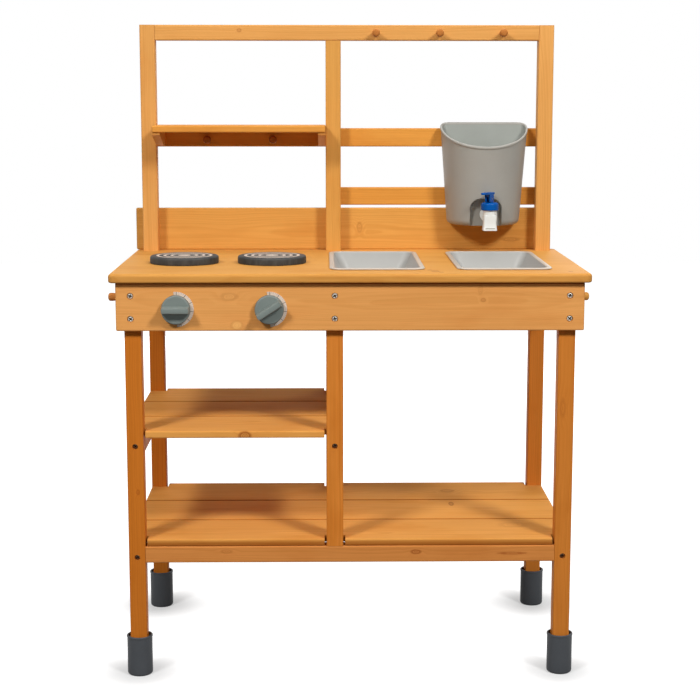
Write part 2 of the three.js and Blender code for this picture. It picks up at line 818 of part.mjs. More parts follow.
// The two pegs under the small shelf are one solid with the slat that carries them.
piece(frame, 'upper_slat', join(upperSlat, ...slatPegs.map((point) => peg(point, intoBack, 0))), honeyWood);
piece(frame, 'small_shelf', bareGeometry(plank('z', ledgeX, ledgeY, ledgeZ)), honeyWood);
function bracket(name, x) {
  const reach = ledgeDepth * bracketReachShare;
  const height = ledgeZ[0] - upperSlatZ[0] - boardEdge;
  const shape = new THREE.Shape();
  shape.moveTo(backPlane, ledgeZ[0]);
  shape.lineTo(backPlane - reach, ledgeZ[0]);
  shape.lineTo(backPlane - reach, ledgeZ[0] - height * bracketNoseShare);
  shape.lineTo(backPlane - stock, ledgeZ[0] - height);
  shape.lineTo(backPlane, ledgeZ[0] - height);
  piece(frame, name, bareGeometry(prism('x', shape, x)), honeyWood);
}
bracket('left_bracket', bracketXs[0]);
bracket('right_bracket', bracketXs[1]);

// Side pegs on the aprons
const sidePegZ = apronBottom + sidePegHeight;
const leftPeg = peg(at(-apronOuter, sidePegY, sidePegZ), intoRight);
piece(base, 'left_side_peg', bareGeometry(leftPeg), amberWood);
const rightPeg = peg(at(apronOuter, sidePegY, sidePegZ), intoLeft);
piece(base, 'right_side_peg', bareGeometry(rightPeg), amberWood);

// Water tank: a tapered D-shaped bucket with a rim that slopes down to the front
const tankGroup = section('tank');
const tankBack = backPlane - seat;
const tankRise = tankTop - tankBottom;

// Outline at a height, from above, anticlockwise from the back right corner; the back lies at y = 0.
function tankOutline(half, depth, inset) {
  const halfIn = half - inset;
  const flat = half * tankFlatShare - inset;
  const ear = depth * tankEarShare;
  const front = depth - ear - inset;
  const points = [];
  points.push(new THREE.Vector2(flat, -inset));
  points.push(new THREE.Vector2(-flat, -inset));
  for (let i = 1; i < tankCornerSteps; i += 1) {
    const angle = Math.PI / 2 + (Math.PI / 2) * (i / tankCornerSteps);
    const round = halfIn - flat;
    points.push(new THREE.Vector2(-flat + Math.cos(angle) * round, -ear + Math.sin(angle) * (ear - inset)));
  }
  for (let i = 0; i <= tankArcSteps; i += 1) {
    const angle = Math.PI + Math.PI * (i / tankArcSteps);
    points.push(new THREE.Vector2(Math.cos(angle) * halfIn, -ear + Math.sin(angle) * front));
  }
  for (let i = 1; i < tankCornerSteps; i += 1) {
    const angle = (Math.PI / 2) * (i / tankCornerSteps);
    const round = halfIn - flat;
    points.push(new THREE.Vector2(flat + Math.cos(angle) * round, -ear + Math.sin(angle) * (ear - inset)));
  }
  return points;
}

// Ring of the tank wall at a fixed height.
function tankRing(z, inset) {
  const share = (z - tankBottom) / tankRise;
  const half = THREE.MathUtils.lerp(tankBottomHalf, tankTopHalf, share);
  const depth = THREE.MathUtils.lerp(tankBottomDepth, tankTopDepth, share);
  return tankOutline(half, depth, inset).map((p) => at(tankX + p.x, tankBack + p.y, z));
}

// Ring where the tank wall meets the sloping rim plane, lowered by a drop.
function rimRing(drop, inset) {
  const low = tankOutline(tankBottomHalf, tankBottomDepth, inset);
  const high = tankOutline(tankTopHalf, tankTopDepth, inset);
  return low.map((start, i) => {
    const run = high[i].y - start.y;
    const share = (tankRise - drop + tankSlope * start.y) / (tankRise - tankSlope * run);
    const point = start.clone().lerp(high[i], share);
    return at(tankX + point.x, tankBack + point.y, tankBottom + tankRise * share);
  });
}

function archCutter(grow, front, back) {
  const half = archWidth / 2 + grow;
  const z = [tankBottom - archCorner - overrun, archTop + grow];
  const shape = roundedRect(z, [tankX - half, tankX + half], archCorner + grow);
  return prism('y', shape, [front, back]);
}

const archDepth = THREE.MathUtils.lerp(tankBottomDepth, tankTopDepth, (tapAxisZ - tankBottom) / tankRise);
const archBack = tankBack - archDepth + archSetback;
const archFront = tankBack - tankTopDepth - overrun;
function tankFloorRings(z, inset) {
  return [
    tankRing(z, inset + tankFillet * filletFootShare),
    tankRing(z + tankFillet * filletRiseShare, inset + tankFillet * filletSideShare),
    tankRing(z + tankFillet, inset),
  ];
}
const tankOuter = loft([
  ...tankFloorRings(tankBottom, 0),
  rimRing(tankLipHeight, 0),
  rimRing(tankLipHeight, -tankLip),
  rimRing(0, -tankLip),
]);
const tankInner = loft([
  ...tankFloorRings(tankBottom + tankWall, tankWall),
  rimRing(-seat, tankWall),
]);
const slatBack = worktopDepth + seat;
const hookShape = new THREE.Shape();
hookShape.moveTo(tankBack - tankWall, tankTop);
hookShape.lineTo(tankBack - tankWall, tankTop - hookThickness);
hookShape.lineTo(slatBack, tankTop - hookThickness);
hookShape.lineTo(slatBack, upperSlatZ[1] - hookDrop);
hookShape.lineTo(slatBack + hookThickness, upperSlatZ[1] - hookDrop);
hookShape.lineTo(slatBack + hookThickness, tankTop);
const hook = prism('x', hookShape, [tankX - hookHalf, tankX + hookHalf]);
const hookRib = [];
for (let i = 0; i < hookRibs; i += 1) {
  const pitch = (2 * hookHalf - hookRibThickness) / (hookRibs - 1);
  const x = tankX - hookHalf + i * pitch;
  const ribZ = [upperSlatZ[1] + seat, tankTop - hookThickness / 2];
  const ribY = [tankBack - tankWall / 2, slatBack + hookThickness / 2];
  hookRib.push(block([x, x + hookRibThickness], ribY, ribZ));
}
const shankPoint = at(tapX, archBack, tapAxisZ);
const tankOuterBody = cut(tankOuter, archCutter(0, archFront, archBack));
const tankInnerBody = cut(tankInner, archCutter(tankWall, archFront, archBack + tankWall));
const shankHole = rod(shankRadius + seat, -overrun, tankWall + overrun, barrelSides, shankPoint, Y);
const tankShell = cut(tankOuterBody, tankInnerBody, shankHole);
piece(tankGroup, 'water_tank', join(tankShell, hook, ...hookRib), tankPlastic);

// Tap body: shank and flange to the tank, barrel with a valve seat, and a square spout
const barrelY = archBack - gasketThickness - seat - tapReach;
const tapCentre = at(tapX, barrelY, 0);
const flangeFace = archBack - 2 * seat - gasketThickness;
const flangeAt = at(tapX, flangeFace, tapAxisZ);
const shankEnd = archBack - flangeFace + tankWall + shankInside;
const tapShank = turned([
  [0, -(flangeFace - barrelY)],
  [shankRadius, -(flangeFace - barrelY)],
  [shankRadius, -flangeThickness],
  [flangeRadius, -flangeThickness],
  [flangeRadius, 0],
  [shankRadius, 0],
  [shankRadius, shankEnd],
  [0, shankEnd],
], barrelSides, flangeAt, Y);
function spoutRing(half, z) {
  const shape = roundedRect([tapX - half, tapX + half], [barrelY - half, barrelY + half], spoutCorner);
  return ringOf(shape, z, edgeSteps);
}
const spout = loft([
  spoutRing(spoutHalf + spoutFlare, spoutBottom),
  spoutRing(spoutHalf - spoutFlare, (spoutBottom + spoutTopZ) / 2),
  spoutRing(spoutHalf, spoutTopZ),
]);
const barrel = rod(barrelRadius, spoutTopZ - spoutWall, barrelTop, barrelSides, tapCentre);
const tapOuter = join(barrel, spout, tapShank);
const spoutBore = rod(seatBore, spoutBottom - overrun, barrelFloor + overrun, smallSides, tapCentre);
const outlet = loft([
  spoutRing(spoutHalf + spoutFlare - spoutWall, spoutBottom - seat),
  spoutRing(spoutHalf - spoutFlare - spoutWall, barrelFloor - spoutWall),
]);
const chamber = rod(barrelBore, barrelFloor, barrelTop + overrun, barrelSides, tapCentre);
const waterway = rod(shankBore, barrelY - flangeFace, shankEnd + overrun, smallSides, flangeAt, Y);
piece(tankGroup, 'tap_body', cut(tapOuter, spoutBore, outlet, chamber, waterway), tapWhite);

function ringPiece(inner, outer, from, to, sides, origin) {
  return turned([[inner, from], [outer, from], [outer, to], [inner, to], [inner, from]], sides, origin, Y);
}
const gasket = ringPiece(shankRadius + seat, flangeRadius, 0, gasketThickness, barrelSides,
  at(tapX, flangeFace + seat, tapAxisZ));
piece(tankGroup, 'tap_gasket', bareGeometry(gasket), sealRubber);
const nutFrom = archBack + tankWall + seat;
const nutAt = at(tapX, nutFrom, tapAxisZ);
const nut = rod(nutRadius, 0, nutThickness, nutSides, nutAt, Y);
const nutBore = rod(shankRadius + seat, -overrun, nutThickness + overrun, barrelSides, nutAt, Y);
piece(tankGroup, 'tap_nut', cut(nut, nutBore), tapWhite);

// Collar: a cap screwed over the barrel, with a hole for the stem
const collarInside = collarTop - collarRoof;
const collar = turned([
  [barrelRadius + seat, collarBottom],
  [collarRadius, collarBottom],
  [collarRadius, collarTop - collarEdge],
  [collarRadius - collarEdge * collarEdgeShare, collarTop - collarEdge * collarEdgeShare],
  [collarRadius - collarEdge, collarTop],
  [stemRadius + seat, collarTop],
  [stemRadius + seat, collarInside],
  [barrelRadius + seat, collarInside],
  [barrelRadius + seat, collarBottom],
], capSides, tapCentre);
piece(tankGroup, 'tap_collar', bareGeometry(collar), tapBlue);

// Stem: valve disc on its seat, rod through the collar, flat tongue that carries the lever pin
const tap = section('tap', tankGroup);
tap.position.set(tapX, barrelY, 0);
tap.rotation.z = leverTurn;
const pinZ = collarTop + seat + pinHeight;
const local = at(0, 0, 0);
const valveBottom = barrelFloor + seat;
const stemRod = turned([
  [0, valveBottom],
  [valveRadius, valveBottom],
  [valveRadius, valveBottom + valveThickness],
  [stemRadius, valveBottom + valveThickness],
  [stemRadius, collarTop + seat + stemRadius],
  [0, collarTop + seat + stemRadius],
], smallSides, local);
const tongue = block(
  [-tongueThickness / 2, tongueThickness / 2],
  [-tongueHalf, tongueHalf],
  [collarTop + seat, pinZ + tongueAbovePin],
);
const pinPoint = at(0, 0, pinZ);
const pinHalf = tongueThickness / 2 + seat + cheekThickness;
const pinHole = rod(pinRadius + seat, -pinHalf, pinHalf, smallSides, pinPoint, X);
piece(tap, 'tap_stem', cut(join(stemRod, tongue), pinHole), tapBlue);
const pin = rod(pinRadius, -pinHalf, pinHalf, smallSides, pinPoint, X);
piece(tap, 'tap_lever_pin', bareGeometry(pin), zincSteel);

// Lever: a paddle on two cheeks. The foot of each cheek is an involute of a circle, so the stem
// rises by the same amount for each degree that the paddle is pressed.
const camShape = new THREE.Shape();
camShape.moveTo(paddleBottom + seat, -tongueHalf - seat);
camShape.lineTo(paddleBottom + seat, paddleTail - paddleThickness);
camShape.lineTo(0, paddleTail - paddleThickness / 2);
camShape.lineTo(-pinHeight, tongueHalf + seat);
camShape.lineTo(-pinHeight, -camLift);
for (let i = 1; i <= camSteps; i += 1) {
  const angle = leverTravel * (i / camSteps);
  const reach = pinHeight + camLift * angle;
  const foot = -reach * Math.cos(angle) + camLift * Math.sin(angle);
  const run = reach * Math.sin(angle) + camLift * Math.cos(angle);
  camShape.lineTo(foot, -run);
}
camShape.lineTo(0, -cheekNose - camLift);
camShape.lineTo(paddleBottom + seat, -cheekNose - camLift);
// The outline above runs in height and in depth; turn it so that height is up and depth runs back.
function cheek(x) {
  const depth = cheekThickness;
  const plate = new THREE.ExtrudeGeometry(camShape, { depth, bevelEnabled: false });
  plate.applyMatrix4(new THREE.Matrix4().makeBasis(Z, Y.clone(), X.clone().negate()));
  return plate.translate(x + depth, 0, pinZ);
}
const paddleShape = new THREE.Shape();
paddleShape.moveTo(-paddleHalf, paddleTail);
paddleShape.lineTo(-paddleHalf, -paddleTail);
paddleShape.lineTo(-paddleTipHalf, -paddleReach + paddleTipHalf);
paddleShape.absarc(0, -paddleReach + paddleTipHalf, paddleTipHalf, Math.PI, Math.PI * 2);
paddleShape.lineTo(paddleHalf, -paddleTail);
paddleShape.lineTo(paddleHalf, paddleTail);
const paddleZ = [pinZ + paddleBottom, pinZ + paddleBottom + paddleThickness];
const paddle = panel('z', paddleShape, paddleZ, paddleThickness / 4, cornerSteps + 1);
const cheekX = tongueThickness / 2 + seat;
const lever = join(paddle, cheek(cheekX), cheek(-cheekX - cheekThickness));
piece(tap, 'tap_lever', cut(lever, pinHole), tapBlue);

// Return spring: one unbroken wire wound round the stem between the valve disc and the collar
function coil() {
  const bottom = valveBottom + valveThickness + seat + springWire;
  const top = collarInside - seat - springWire;
  const stations = springTurns * springSteps;
  const positions = [];
  const index = [];
  for (let i = 0; i <= stations; i += 1) {
    const angle = (Math.PI * 2 * i) / springSteps;
    const z = THREE.MathUtils.lerp(bottom, top, i / stations);
    for (let j = 0; j < springSides; j += 1) {
      const turn = (Math.PI * 2 * j) / springSides;
      const radius = springRadius + Math.cos(turn) * springWire;
      positions.push(Math.cos(angle) * radius, Math.sin(angle) * radius, z + Math.sin(turn) * springWire);
    }
  }
  for (let i = 0; i < stations; i += 1) {
    for (let j = 0; j < springSides; j += 1) {
      const a = i * springSides + j;
      const b = i * springSides + (j + 1) % springSides;
      index.push(a, a + springSides, b, b, a + springSides, b + springSides);
    }
  }
  const last = stations * springSides;
  for (let j = 1; j + 1 < springSides; j += 1) {
    index.push(0, j, j + 1);
    index.push(last, last + j + 1, last + j);
  }
  const geometry = new THREE.BufferGeometry();
  geometry.setAttribute('position', new THREE.Float32BufferAttribute(positions, 3));
  geometry.setIndex(index);
  return geometry;
}
piece(tap, 'tap_spring', bareGeometry(coil()), zincSteel);

export default kitchen;
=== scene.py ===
import math

import bmesh
import bpy
from mathutils import Matrix, Vector


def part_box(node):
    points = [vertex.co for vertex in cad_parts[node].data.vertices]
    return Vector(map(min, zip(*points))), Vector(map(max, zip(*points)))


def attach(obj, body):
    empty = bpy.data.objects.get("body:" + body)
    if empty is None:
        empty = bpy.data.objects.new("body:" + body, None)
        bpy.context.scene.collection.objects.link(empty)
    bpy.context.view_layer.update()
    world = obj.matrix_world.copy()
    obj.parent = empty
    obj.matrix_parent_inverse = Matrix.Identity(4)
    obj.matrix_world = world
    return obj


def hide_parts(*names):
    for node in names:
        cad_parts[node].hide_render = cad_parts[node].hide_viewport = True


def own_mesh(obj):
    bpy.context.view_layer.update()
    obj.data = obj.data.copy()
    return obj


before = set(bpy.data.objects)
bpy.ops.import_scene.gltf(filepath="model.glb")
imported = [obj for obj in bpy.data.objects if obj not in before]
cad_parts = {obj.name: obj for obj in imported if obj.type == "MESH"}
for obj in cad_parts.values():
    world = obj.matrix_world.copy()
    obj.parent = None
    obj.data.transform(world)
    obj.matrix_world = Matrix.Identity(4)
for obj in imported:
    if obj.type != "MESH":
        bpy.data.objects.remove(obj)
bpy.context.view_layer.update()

# Places are written in millimetres, with y counted back from the worktop's front edge.
MM = 0.001
FRONT_Y = -0.19475
Z = Vector((0, 0, 1))
FORWARD, BACKWARD, UPWARD, DOWNWARD = (0, -1, 0), (0, 1, 0), (0, 0, 1), (0, 0, -1)
QUARTER = math.pi / 2
FINE, WELD = 1e-6, 2e-6
SIDES, SHARP_DEGREES = 96, 38.0


def place(point):
    """A place in millimetres, in the frame that all tools share."""
    x, y, z = point
    return Vector((x * MM, y * MM + FRONT_Y, z * MM))


def srgb(red, green, blue):
    """A colour as a screen shows it, from 0 to 255, made linear."""
    def linear(value):
        value /= 255
        return value / 12.92 if value <= 0.04045 else ((value + 0.055) / 1.055) ** 2.4
    return (linear(red), linear(green), linear(blue), 1.0)


def scaled(colour, share):
    """A colour made paler or darker."""
    return tuple(min(1.0, part * share) for part in colour[:3]) + (1.0,)


def spread(index, low, high):
    """A steady made-up number between two limits for the n-th board or bolt."""
    return low + (high - low) * ((index * 0.61803398875) % 1.0)


def lerp(a, b, t):
    """A value on the way from one to another."""
    return a + (b - a) * t


def smooth01(t):
    """Rises softly from 0 to 1."""
    t = min(1.0, max(0.0, t))
    return t * t * (3 - 2 * t)


# Shapes


class Shape:
    """Vertices, faces, and the number of each face's material."""

    def __init__(self):
        self.verts, self.faces, self.finish = [], [], []

    def add(self, part, finish=0):
        verts, faces = part
        start = len(self.verts)
        self.verts.extend(tuple(v) for v in verts)
        self.faces.extend(tuple(start + i for i in face) for face in faces)
        self.finish.extend(finish if isinstance(finish, list) else [finish] * len(faces))
        return self


def angles(start, end, steps):
    """Evenly spaced angles, with both ends."""
    return [start + (end - start) * k / steps for k in range(steps + 1)]


def around(sides):
    """Evenly spaced angles once around."""
    return angles(0, math.tau, sides)[:-1]


def arc(middle, reach, turn):
    """Points round a middle at some angles; the reach can differ along the two axes."""
    reach_u, reach_v = reach if isinstance(reach, tuple) else (reach, reach)
    return [(middle[0] + reach_u * math.cos(a), middle[1] + reach_v * math.sin(a)) for a in turn]


def lifted(outline, z):
    """An outline from above, at a height."""
    return [(u, v, z) for u, v in outline]


def eased(points, steps=4):
    """A profile of radii and heights; the third number of a point is how far its corner is rounded."""
    out = [Vector(points[0][:2])]
    for i in range(1, len(points) - 1):
        before, corner, after = (Vector(p[:2]) for p in points[i - 1:i + 2])
        reach = points[i][2]
        cut_before = min(reach, (before - corner).length / 2)
        cut_after = min(reach, (after - corner).length / 2)
        if min(cut_before, cut_after) < FINE:
            out.append(corner)
            continue
        start = corner + (before - corner).normalized() * cut_before
        end = corner + (after - corner).normalized() * cut_after
        for k in range(steps + 1):
            t = k / steps
            out.append(start * (1 - t) ** 2 + corner * (2 * t * (1 - t)) + end * t ** 2)
    return out + [Vector(points[-1][:2])]


def lathe(profile, origin, direction=Z, sides=SIDES, closed=False, steps=4):
    """A turned piece from a profile, whose heights lie along the direction."""
    turn = Z.rotation_difference(Vector(direction))
    verts, faces, rows = [], [], []
    for radius, height in eased(profile, steps):
        if radius < FINE:
            rows.append([len(verts)])
            verts.append(Vector((0, 0, height)))
            continue
        rows.append(range(len(verts), len(verts) + sides))
        verts += [Vector((u, v, height)) for u, v in arc((0, 0), radius, around(sides))]
    pairs = list(zip(rows, rows[1:]))
    if closed:
        pairs.append((rows[-1], rows[0]))
    for low, high in pairs:
        for i in range(sides):
            j = (i + 1) % sides
            ring = (low[i % len(low)], low[j % len(low)], high[j % len(high)], high[i % len(high)])
            faces.append(tuple(dict.fromkeys(ring)))
    return [turn @ v + Vector(origin) for v in verts], faces


def rings_to_skin(rings, close_ends=True):
    """Faces between rings with the same number of points."""
    count = len(rings[0])
    verts = [point for ring in rings for point in ring]
    faces = []
    for low in range(0, len(verts) - count, count):
        for i in range(count):
            j = (i + 1) % count
            faces.append((low + i, low + j, low + count + j, low + count + i))
    if close_ends:
        faces.append(tuple(reversed(range(count))))
        faces.append(tuple(range(len(verts) - count, len(verts))))
    return verts, faces


AXIS_ORDER = {
    'x': lambda u, v, w: (w, u, v),
    'y': lambda u, v, w: (u, w, v),
    'z': lambda u, v, w: (u, v, w),
}


def taken_from(bm, axis='z'):
    """The vertices and faces of a bmesh, which is then freed."""
    bm.verts.index_update()
    verts = [Vector(AXIS_ORDER[axis](*v.co)) for v in bm.verts]
    faces = [tuple(v.index for v in face.verts) for face in bm.faces]
    bm.free()
    return verts, faces


def slab(outline, span, axis='z', edge=0.0, steps=3):
    """An outline pushed along an axis, with its rims rounded."""
    bm = bmesh.new()
    low, high = ([bm.verts.new((u, v, w)) for u, v in outline] for w in span)
    ends = [bm.faces.new(list(reversed(low))), bm.faces.new(high)]
    for i in range(len(outline)):
        j = (i + 1) % len(outline)
        bm.faces.new((low[i], low[j], high[j], high[i]))
    if edge:
        rims = [rim for end in ends for rim in end.edges]
        bmesh.ops.bevel(bm, geom=rims, offset=edge, segments=steps, profile=0.5, affect='EDGES')
    return taken_from(bm, axis)


def filled(loops):
    """Flat faces between an outline and the holes in it."""
    bm = bmesh.new()
    for loop in loops:
        verts = [bm.verts.new(p) for p in loop]
        for i, vert in enumerate(verts):
            bm.edges.new((vert, verts[(i + 1) % len(verts)]))
    bmesh.ops.triangle_fill(bm, use_beauty=True, use_dissolve=False, edges=bm.edges[:])
    return taken_from(bm)


def round_rect(u, v, radius, steps=6):
    """A rectangle between two values each way, with rounded corners."""
    middles = [(u[1] - radius, v[0] + radius), (u[1] - radius, v[1] - radius),
               (u[0] + radius, v[1] - radius), (u[0] + radius, v[0] + radius)]
    points = []
    for k, middle in enumerate(middles):
        points += arc(middle, radius, angles(QUARTER * (k - 1), QUARTER * k, steps))
    return points


def turned_by(part, origin, axis, angle):
    """A part turned about an axis through an origin."""
    spin = Matrix.Rotation(angle, 3, axis)
    centre = Vector(origin)
    return [spin @ (Vector(v) - centre) + centre for v in part[0]], part[1]


def shown(name, data):
    """An object in the scene."""
    obj = bpy.data.objects.new(name, data)
    bpy.context.scene.collection.objects.link(obj)
    return obj


def piece(name, shape, materials, body, stands_for=(), sharp=SHARP_DEGREES, welded=False):
    """A piece of the object: its mesh, the body that it rides on and the nodes that it replaces."""
    mesh = bpy.data.meshes.new(name)
    mesh.from_pydata([place(v) for v in shape.verts], [], shape.faces)
    for material in materials:
        mesh.materials.append(material)
    mesh.polygons.foreach_set("material_index", shape.finish)
    bm = bmesh.new()
    bm.from_mesh(mesh)
    if welded:
        bmesh.ops.remove_doubles(bm, verts=bm.verts, dist=WELD)
    bmesh.ops.recalc_face_normals(bm, faces=bm.faces)
    for face in bm.faces:
        face.smooth = True
    for edge in bm.edges:
        edge.smooth = len(edge.link_faces) == 2 and edge.calc_face_angle(0) < math.radians(sharp)
    bm.to_mesh(mesh)
    bm.free()
    obj = shown(name, mesh)
    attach(obj, body)
    if stands_for:
        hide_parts(*stands_for)
    return obj


# Node trees


class Nodes:
    """Short calls for building a node tree."""

    def __init__(self, tree):
        self.tree = tree

    def new(self, kind, inputs=None, **settings):
        node = self.tree.nodes.new(kind if kind.startswith("NodeGroup") else "ShaderNode" + kind)
        for key, value in settings.items():
            setattr(node, key, value)
        for key, value in (inputs or {}).items():
            self.put(node.inputs[key], value)
        return node

    def put(self, socket, value):
        """Links a socket to another, or sets its value."""
        if isinstance(value, bpy.types.NodeSocket):
            self.tree.links.new(value, socket)
        else:
            socket.default_value = value

    def math(self, operation, a, b=0.0, clamp=False):
        node = self.new("Math", {0: a, 1: b}, operation=operation)
        node.use_clamp = clamp
        return node.outputs[0]

    def add(self, a, b):
        return self.math('ADD', a, b)

    def sub(self, a, b):
        return self.math('SUBTRACT', a, b)

    def mul(self, a, b):
        return self.math('MULTIPLY', a, b)

    def max(self, a, b):
        return self.math('MAXIMUM', a, b)

    def abs(self, a):
        return self.math('ABSOLUTE', a)

    def vector(self, operation, a, b=(0.0, 0.0, 0.0)):
        return self.new("VectorMath", {0: a, 1: b}, operation=operation).outputs["Vector"]

    def length(self, a):
        return self.new("VectorMath", {0: a}, operation='LENGTH').outputs["Value"]

    def split(self, a):
        return self.new("SeparateXYZ", {0: a}).outputs

    def flat(self, u, v):
        """How far two coordinates lie from zero together."""
        return self.length(self.new("CombineXYZ", {0: u, 1: v}).outputs[0])

    def linear(self, value, low, high, out_low=0.0, out_high=1.0, kind='LINEAR'):
        """A value between two limits, carried over to two others."""
        return self.new("MapRange", {
            "Value": value, "From Min": low, "From Max": high, "To Min": out_low, "To Max": out_high,
        }, interpolation_type=kind).outputs[0]

    def step(self, value, low, high, out_low=0.0, out_high=1.0):
        """The same with soft ends."""
        return self.linear(value, low, high, out_low, out_high, 'SMOOTHSTEP')

    def mix(self, factor, a, b, blend='MIX'):
        node = self.new("Mix", data_type='RGBA', blend_type=blend)
        for socket, value in ((node.inputs["Factor"], factor), (node.inputs[6], a), (node.inputs[7], b)):
            self.put(socket, value)
        return node.outputs[2]

    def tinted(self, colour, shade, green, blue):
        """A colour times a shade, whose green and blue fall off by a power of their own."""
        tint = self.new("CombineColor", {
            "Red": shade, "Green": self.math('POWER', shade, green), "Blue": self.math('POWER', shade, blue),
        }).outputs[0]
        return self.mix(1.0, colour, tint, 'MULTIPLY')

    def noise(self, spot, scale, detail=2.0, roughness=0.5, seed=0.0):
        """Noise at one scale, or stretched where the scale has three numbers."""
        if isinstance(scale, tuple):
            spot, scale = self.vector('MULTIPLY', spot, scale), 1.0
        return self.new("TexNoise", {
            "Vector": spot, "W": seed, "Scale": scale, "Detail": detail, "Roughness": roughness,
        }, noise_dimensions='4D').outputs[0]


def bare_material(name):
    """A material with an empty node tree."""
    material = bpy.data.materials.new(name)
    material.use_nodes = True
    material.node_tree.nodes.clear()
    return material, Nodes(material.node_tree)


def close_material(nodes, colour, roughness, height, bump, distance, specular=0.5, metallic=0.0):
    """Ends a material in one Principled shader."""
    shader = nodes.new("BsdfPrincipled", {
        "Base Color": colour, "Roughness": roughness, "Specular IOR Level": specular, "Metallic": metallic,
    })
    relief = nodes.new("Bump", {"Strength": bump, "Distance": distance, "Height": height})
    nodes.put(shader.inputs["Normal"], relief.outputs["Normal"])
    nodes.new("OutputMaterial", {"Surface": shader.outputs[0]})


def new_group(name, inputs, outputs):
    """A node group with its sockets, given as kinds with their names."""
    group = bpy.data.node_groups.new(name, "ShaderNodeTree")
    for in_out, sockets in (('INPUT', inputs), ('OUTPUT', outputs)):
        for kind, names in sockets.items():
            for socket in names:
                group.interface.new_socket(socket, in_out=in_out, socket_type="NodeSocket" + kind)
    return group, Nodes(group), group.nodes.new("NodeGroupInput").outputs


# Wood

WOOD_TONES = {
    # pale early wood, dark late wood, stain that has pooled
    'honey': (srgb(222, 161, 81), srgb(195, 125, 49), srgb(201, 129, 51)),
    'straw': (srgb(223, 161, 88), srgb(196, 125, 53), srgb(202, 129, 56)),
    'orange': (srgb(220, 151, 67), srgb(193, 117, 39), srgb(199, 120, 41)),
    'peach': (srgb(225, 158, 88), srgb(206, 133, 64), srgb(208, 131, 63)),
    'clay': (srgb(234, 165, 84), srgb(206, 128, 51), srgb(213, 132, 53)),
    'amber': (srgb(207, 126, 49), srgb(175, 93, 21), srgb(183, 99, 23)),
    'ochre': (srgb(202, 116, 36), srgb(167, 84, 12), srgb(173, 88, 15)),
    'russet': (srgb(209, 135, 68), srgb(176, 100, 40), srgb(182, 104, 42)),
    'chestnut': (srgb(196, 124, 60), srgb(160, 90, 32), srgb(168, 95, 34)),
}
KNOT_DARK, KNOT_PALE, END_GRAIN = srgb(140, 60, 16), srgb(244, 182, 104), srgb(176, 108, 50)


def softwood_group():
    """Growth rings round a pith line, cut by the board, with fibre, blotchy stain and knots."""
    group, n, given = new_group(
        "softwood",
        {"Vector": ("Place", "Pith"), "Float": ("Seed", "Ring", "Bulge", "Knot", "Core", "End"),
         "Color": ("Pale", "Dark", "Pooled")},
        {"Color": ("Color",), "Float": ("Height", "Roughness")})
    spot, seed = given["Place"], given["Seed"]
    slow = n.noise(spot, (2.2, 9.0, 9.0), 2.0, 0.5, seed)
    wave = n.noise(spot, (9.0, 40.0, 40.0), 2.0, 0.5, seed)
    radius = n.length(n.vector('MULTIPLY', n.vector('SUBTRACT', spot, given["Pith"]), (0.035, 1.0, 1.0)))
    radius = n.add(radius, n.mul(n.sub(slow, 0.5), 0.026))
    radius = n.add(radius, n.mul(n.sub(wave, 0.5), 0.0035))
    turns = n.math('DIVIDE', n.add(radius, given["Bulge"]), given["Ring"])
    # years differ: the ring count is warped by a slow noise of itself
    years = n.new("TexNoise", {"W": n.add(n.mul(turns, 0.31), seed), "Scale": 1.0, "Detail": 1.0},
                  noise_dimensions='1D').outputs[0]
    part = n.math('FRACT', n.add(turns, n.mul(years, 1.6)))
    late = n.mul(n.step(part, 0.15, 0.85), n.step(part, 1.0, 0.88))
    late = n.mul(late, n.linear(years, 0.3, 0.7, 0.35, 1.0))
    fibre = n.noise(spot, (14.0, 900.0, 900.0), 3.0, 0.6, seed)
    streak = n.noise(spot, (5.0, 190.0, 190.0), 2.0, 0.5, seed)
    blotch = n.noise(spot, (7.0, 19.0, 19.0), 3.0, 0.55, seed)
    broad = n.noise(spot, (2.5, 6.0, 6.0), 1.0, 0.5, seed)
    colour = n.mix(n.mul(late, 0.32), given["Pale"], given["Dark"])
    colour = n.mix(n.mul(n.step(blotch, 0.48, 0.74), 0.42), colour, given["Pooled"])
    shade = n.add(n.linear(fibre, 0.25, 0.75, 0.95, 1.04), n.linear(streak, 0.3, 0.7, -0.04, 0.035))
    shade = n.mul(shade, n.linear(broad, 0.3, 0.7, 0.96, 1.04))
    colour = n.tinted(colour, shade, 1.25, 1.7)
    colour = n.mix(n.mul(given["End"], 0.6), colour, END_GRAIN)
    colour = n.mix(given["Core"], colour, KNOT_PALE)
    colour = n.mix(n.mul(given["Knot"], 0.8), colour, KNOT_DARK)
    rough = n.linear(n.add(fibre, blotch), 0.7, 1.3, 0.48, 0.6)
    n.new("NodeGroupOutput", {
        "Color": colour,
        "Height": n.add(n.mul(late, 0.5), n.mul(fibre, 0.6)),
        "Roughness": n.add(rough, n.mul(given["End"], 0.15)),
    })
    return group


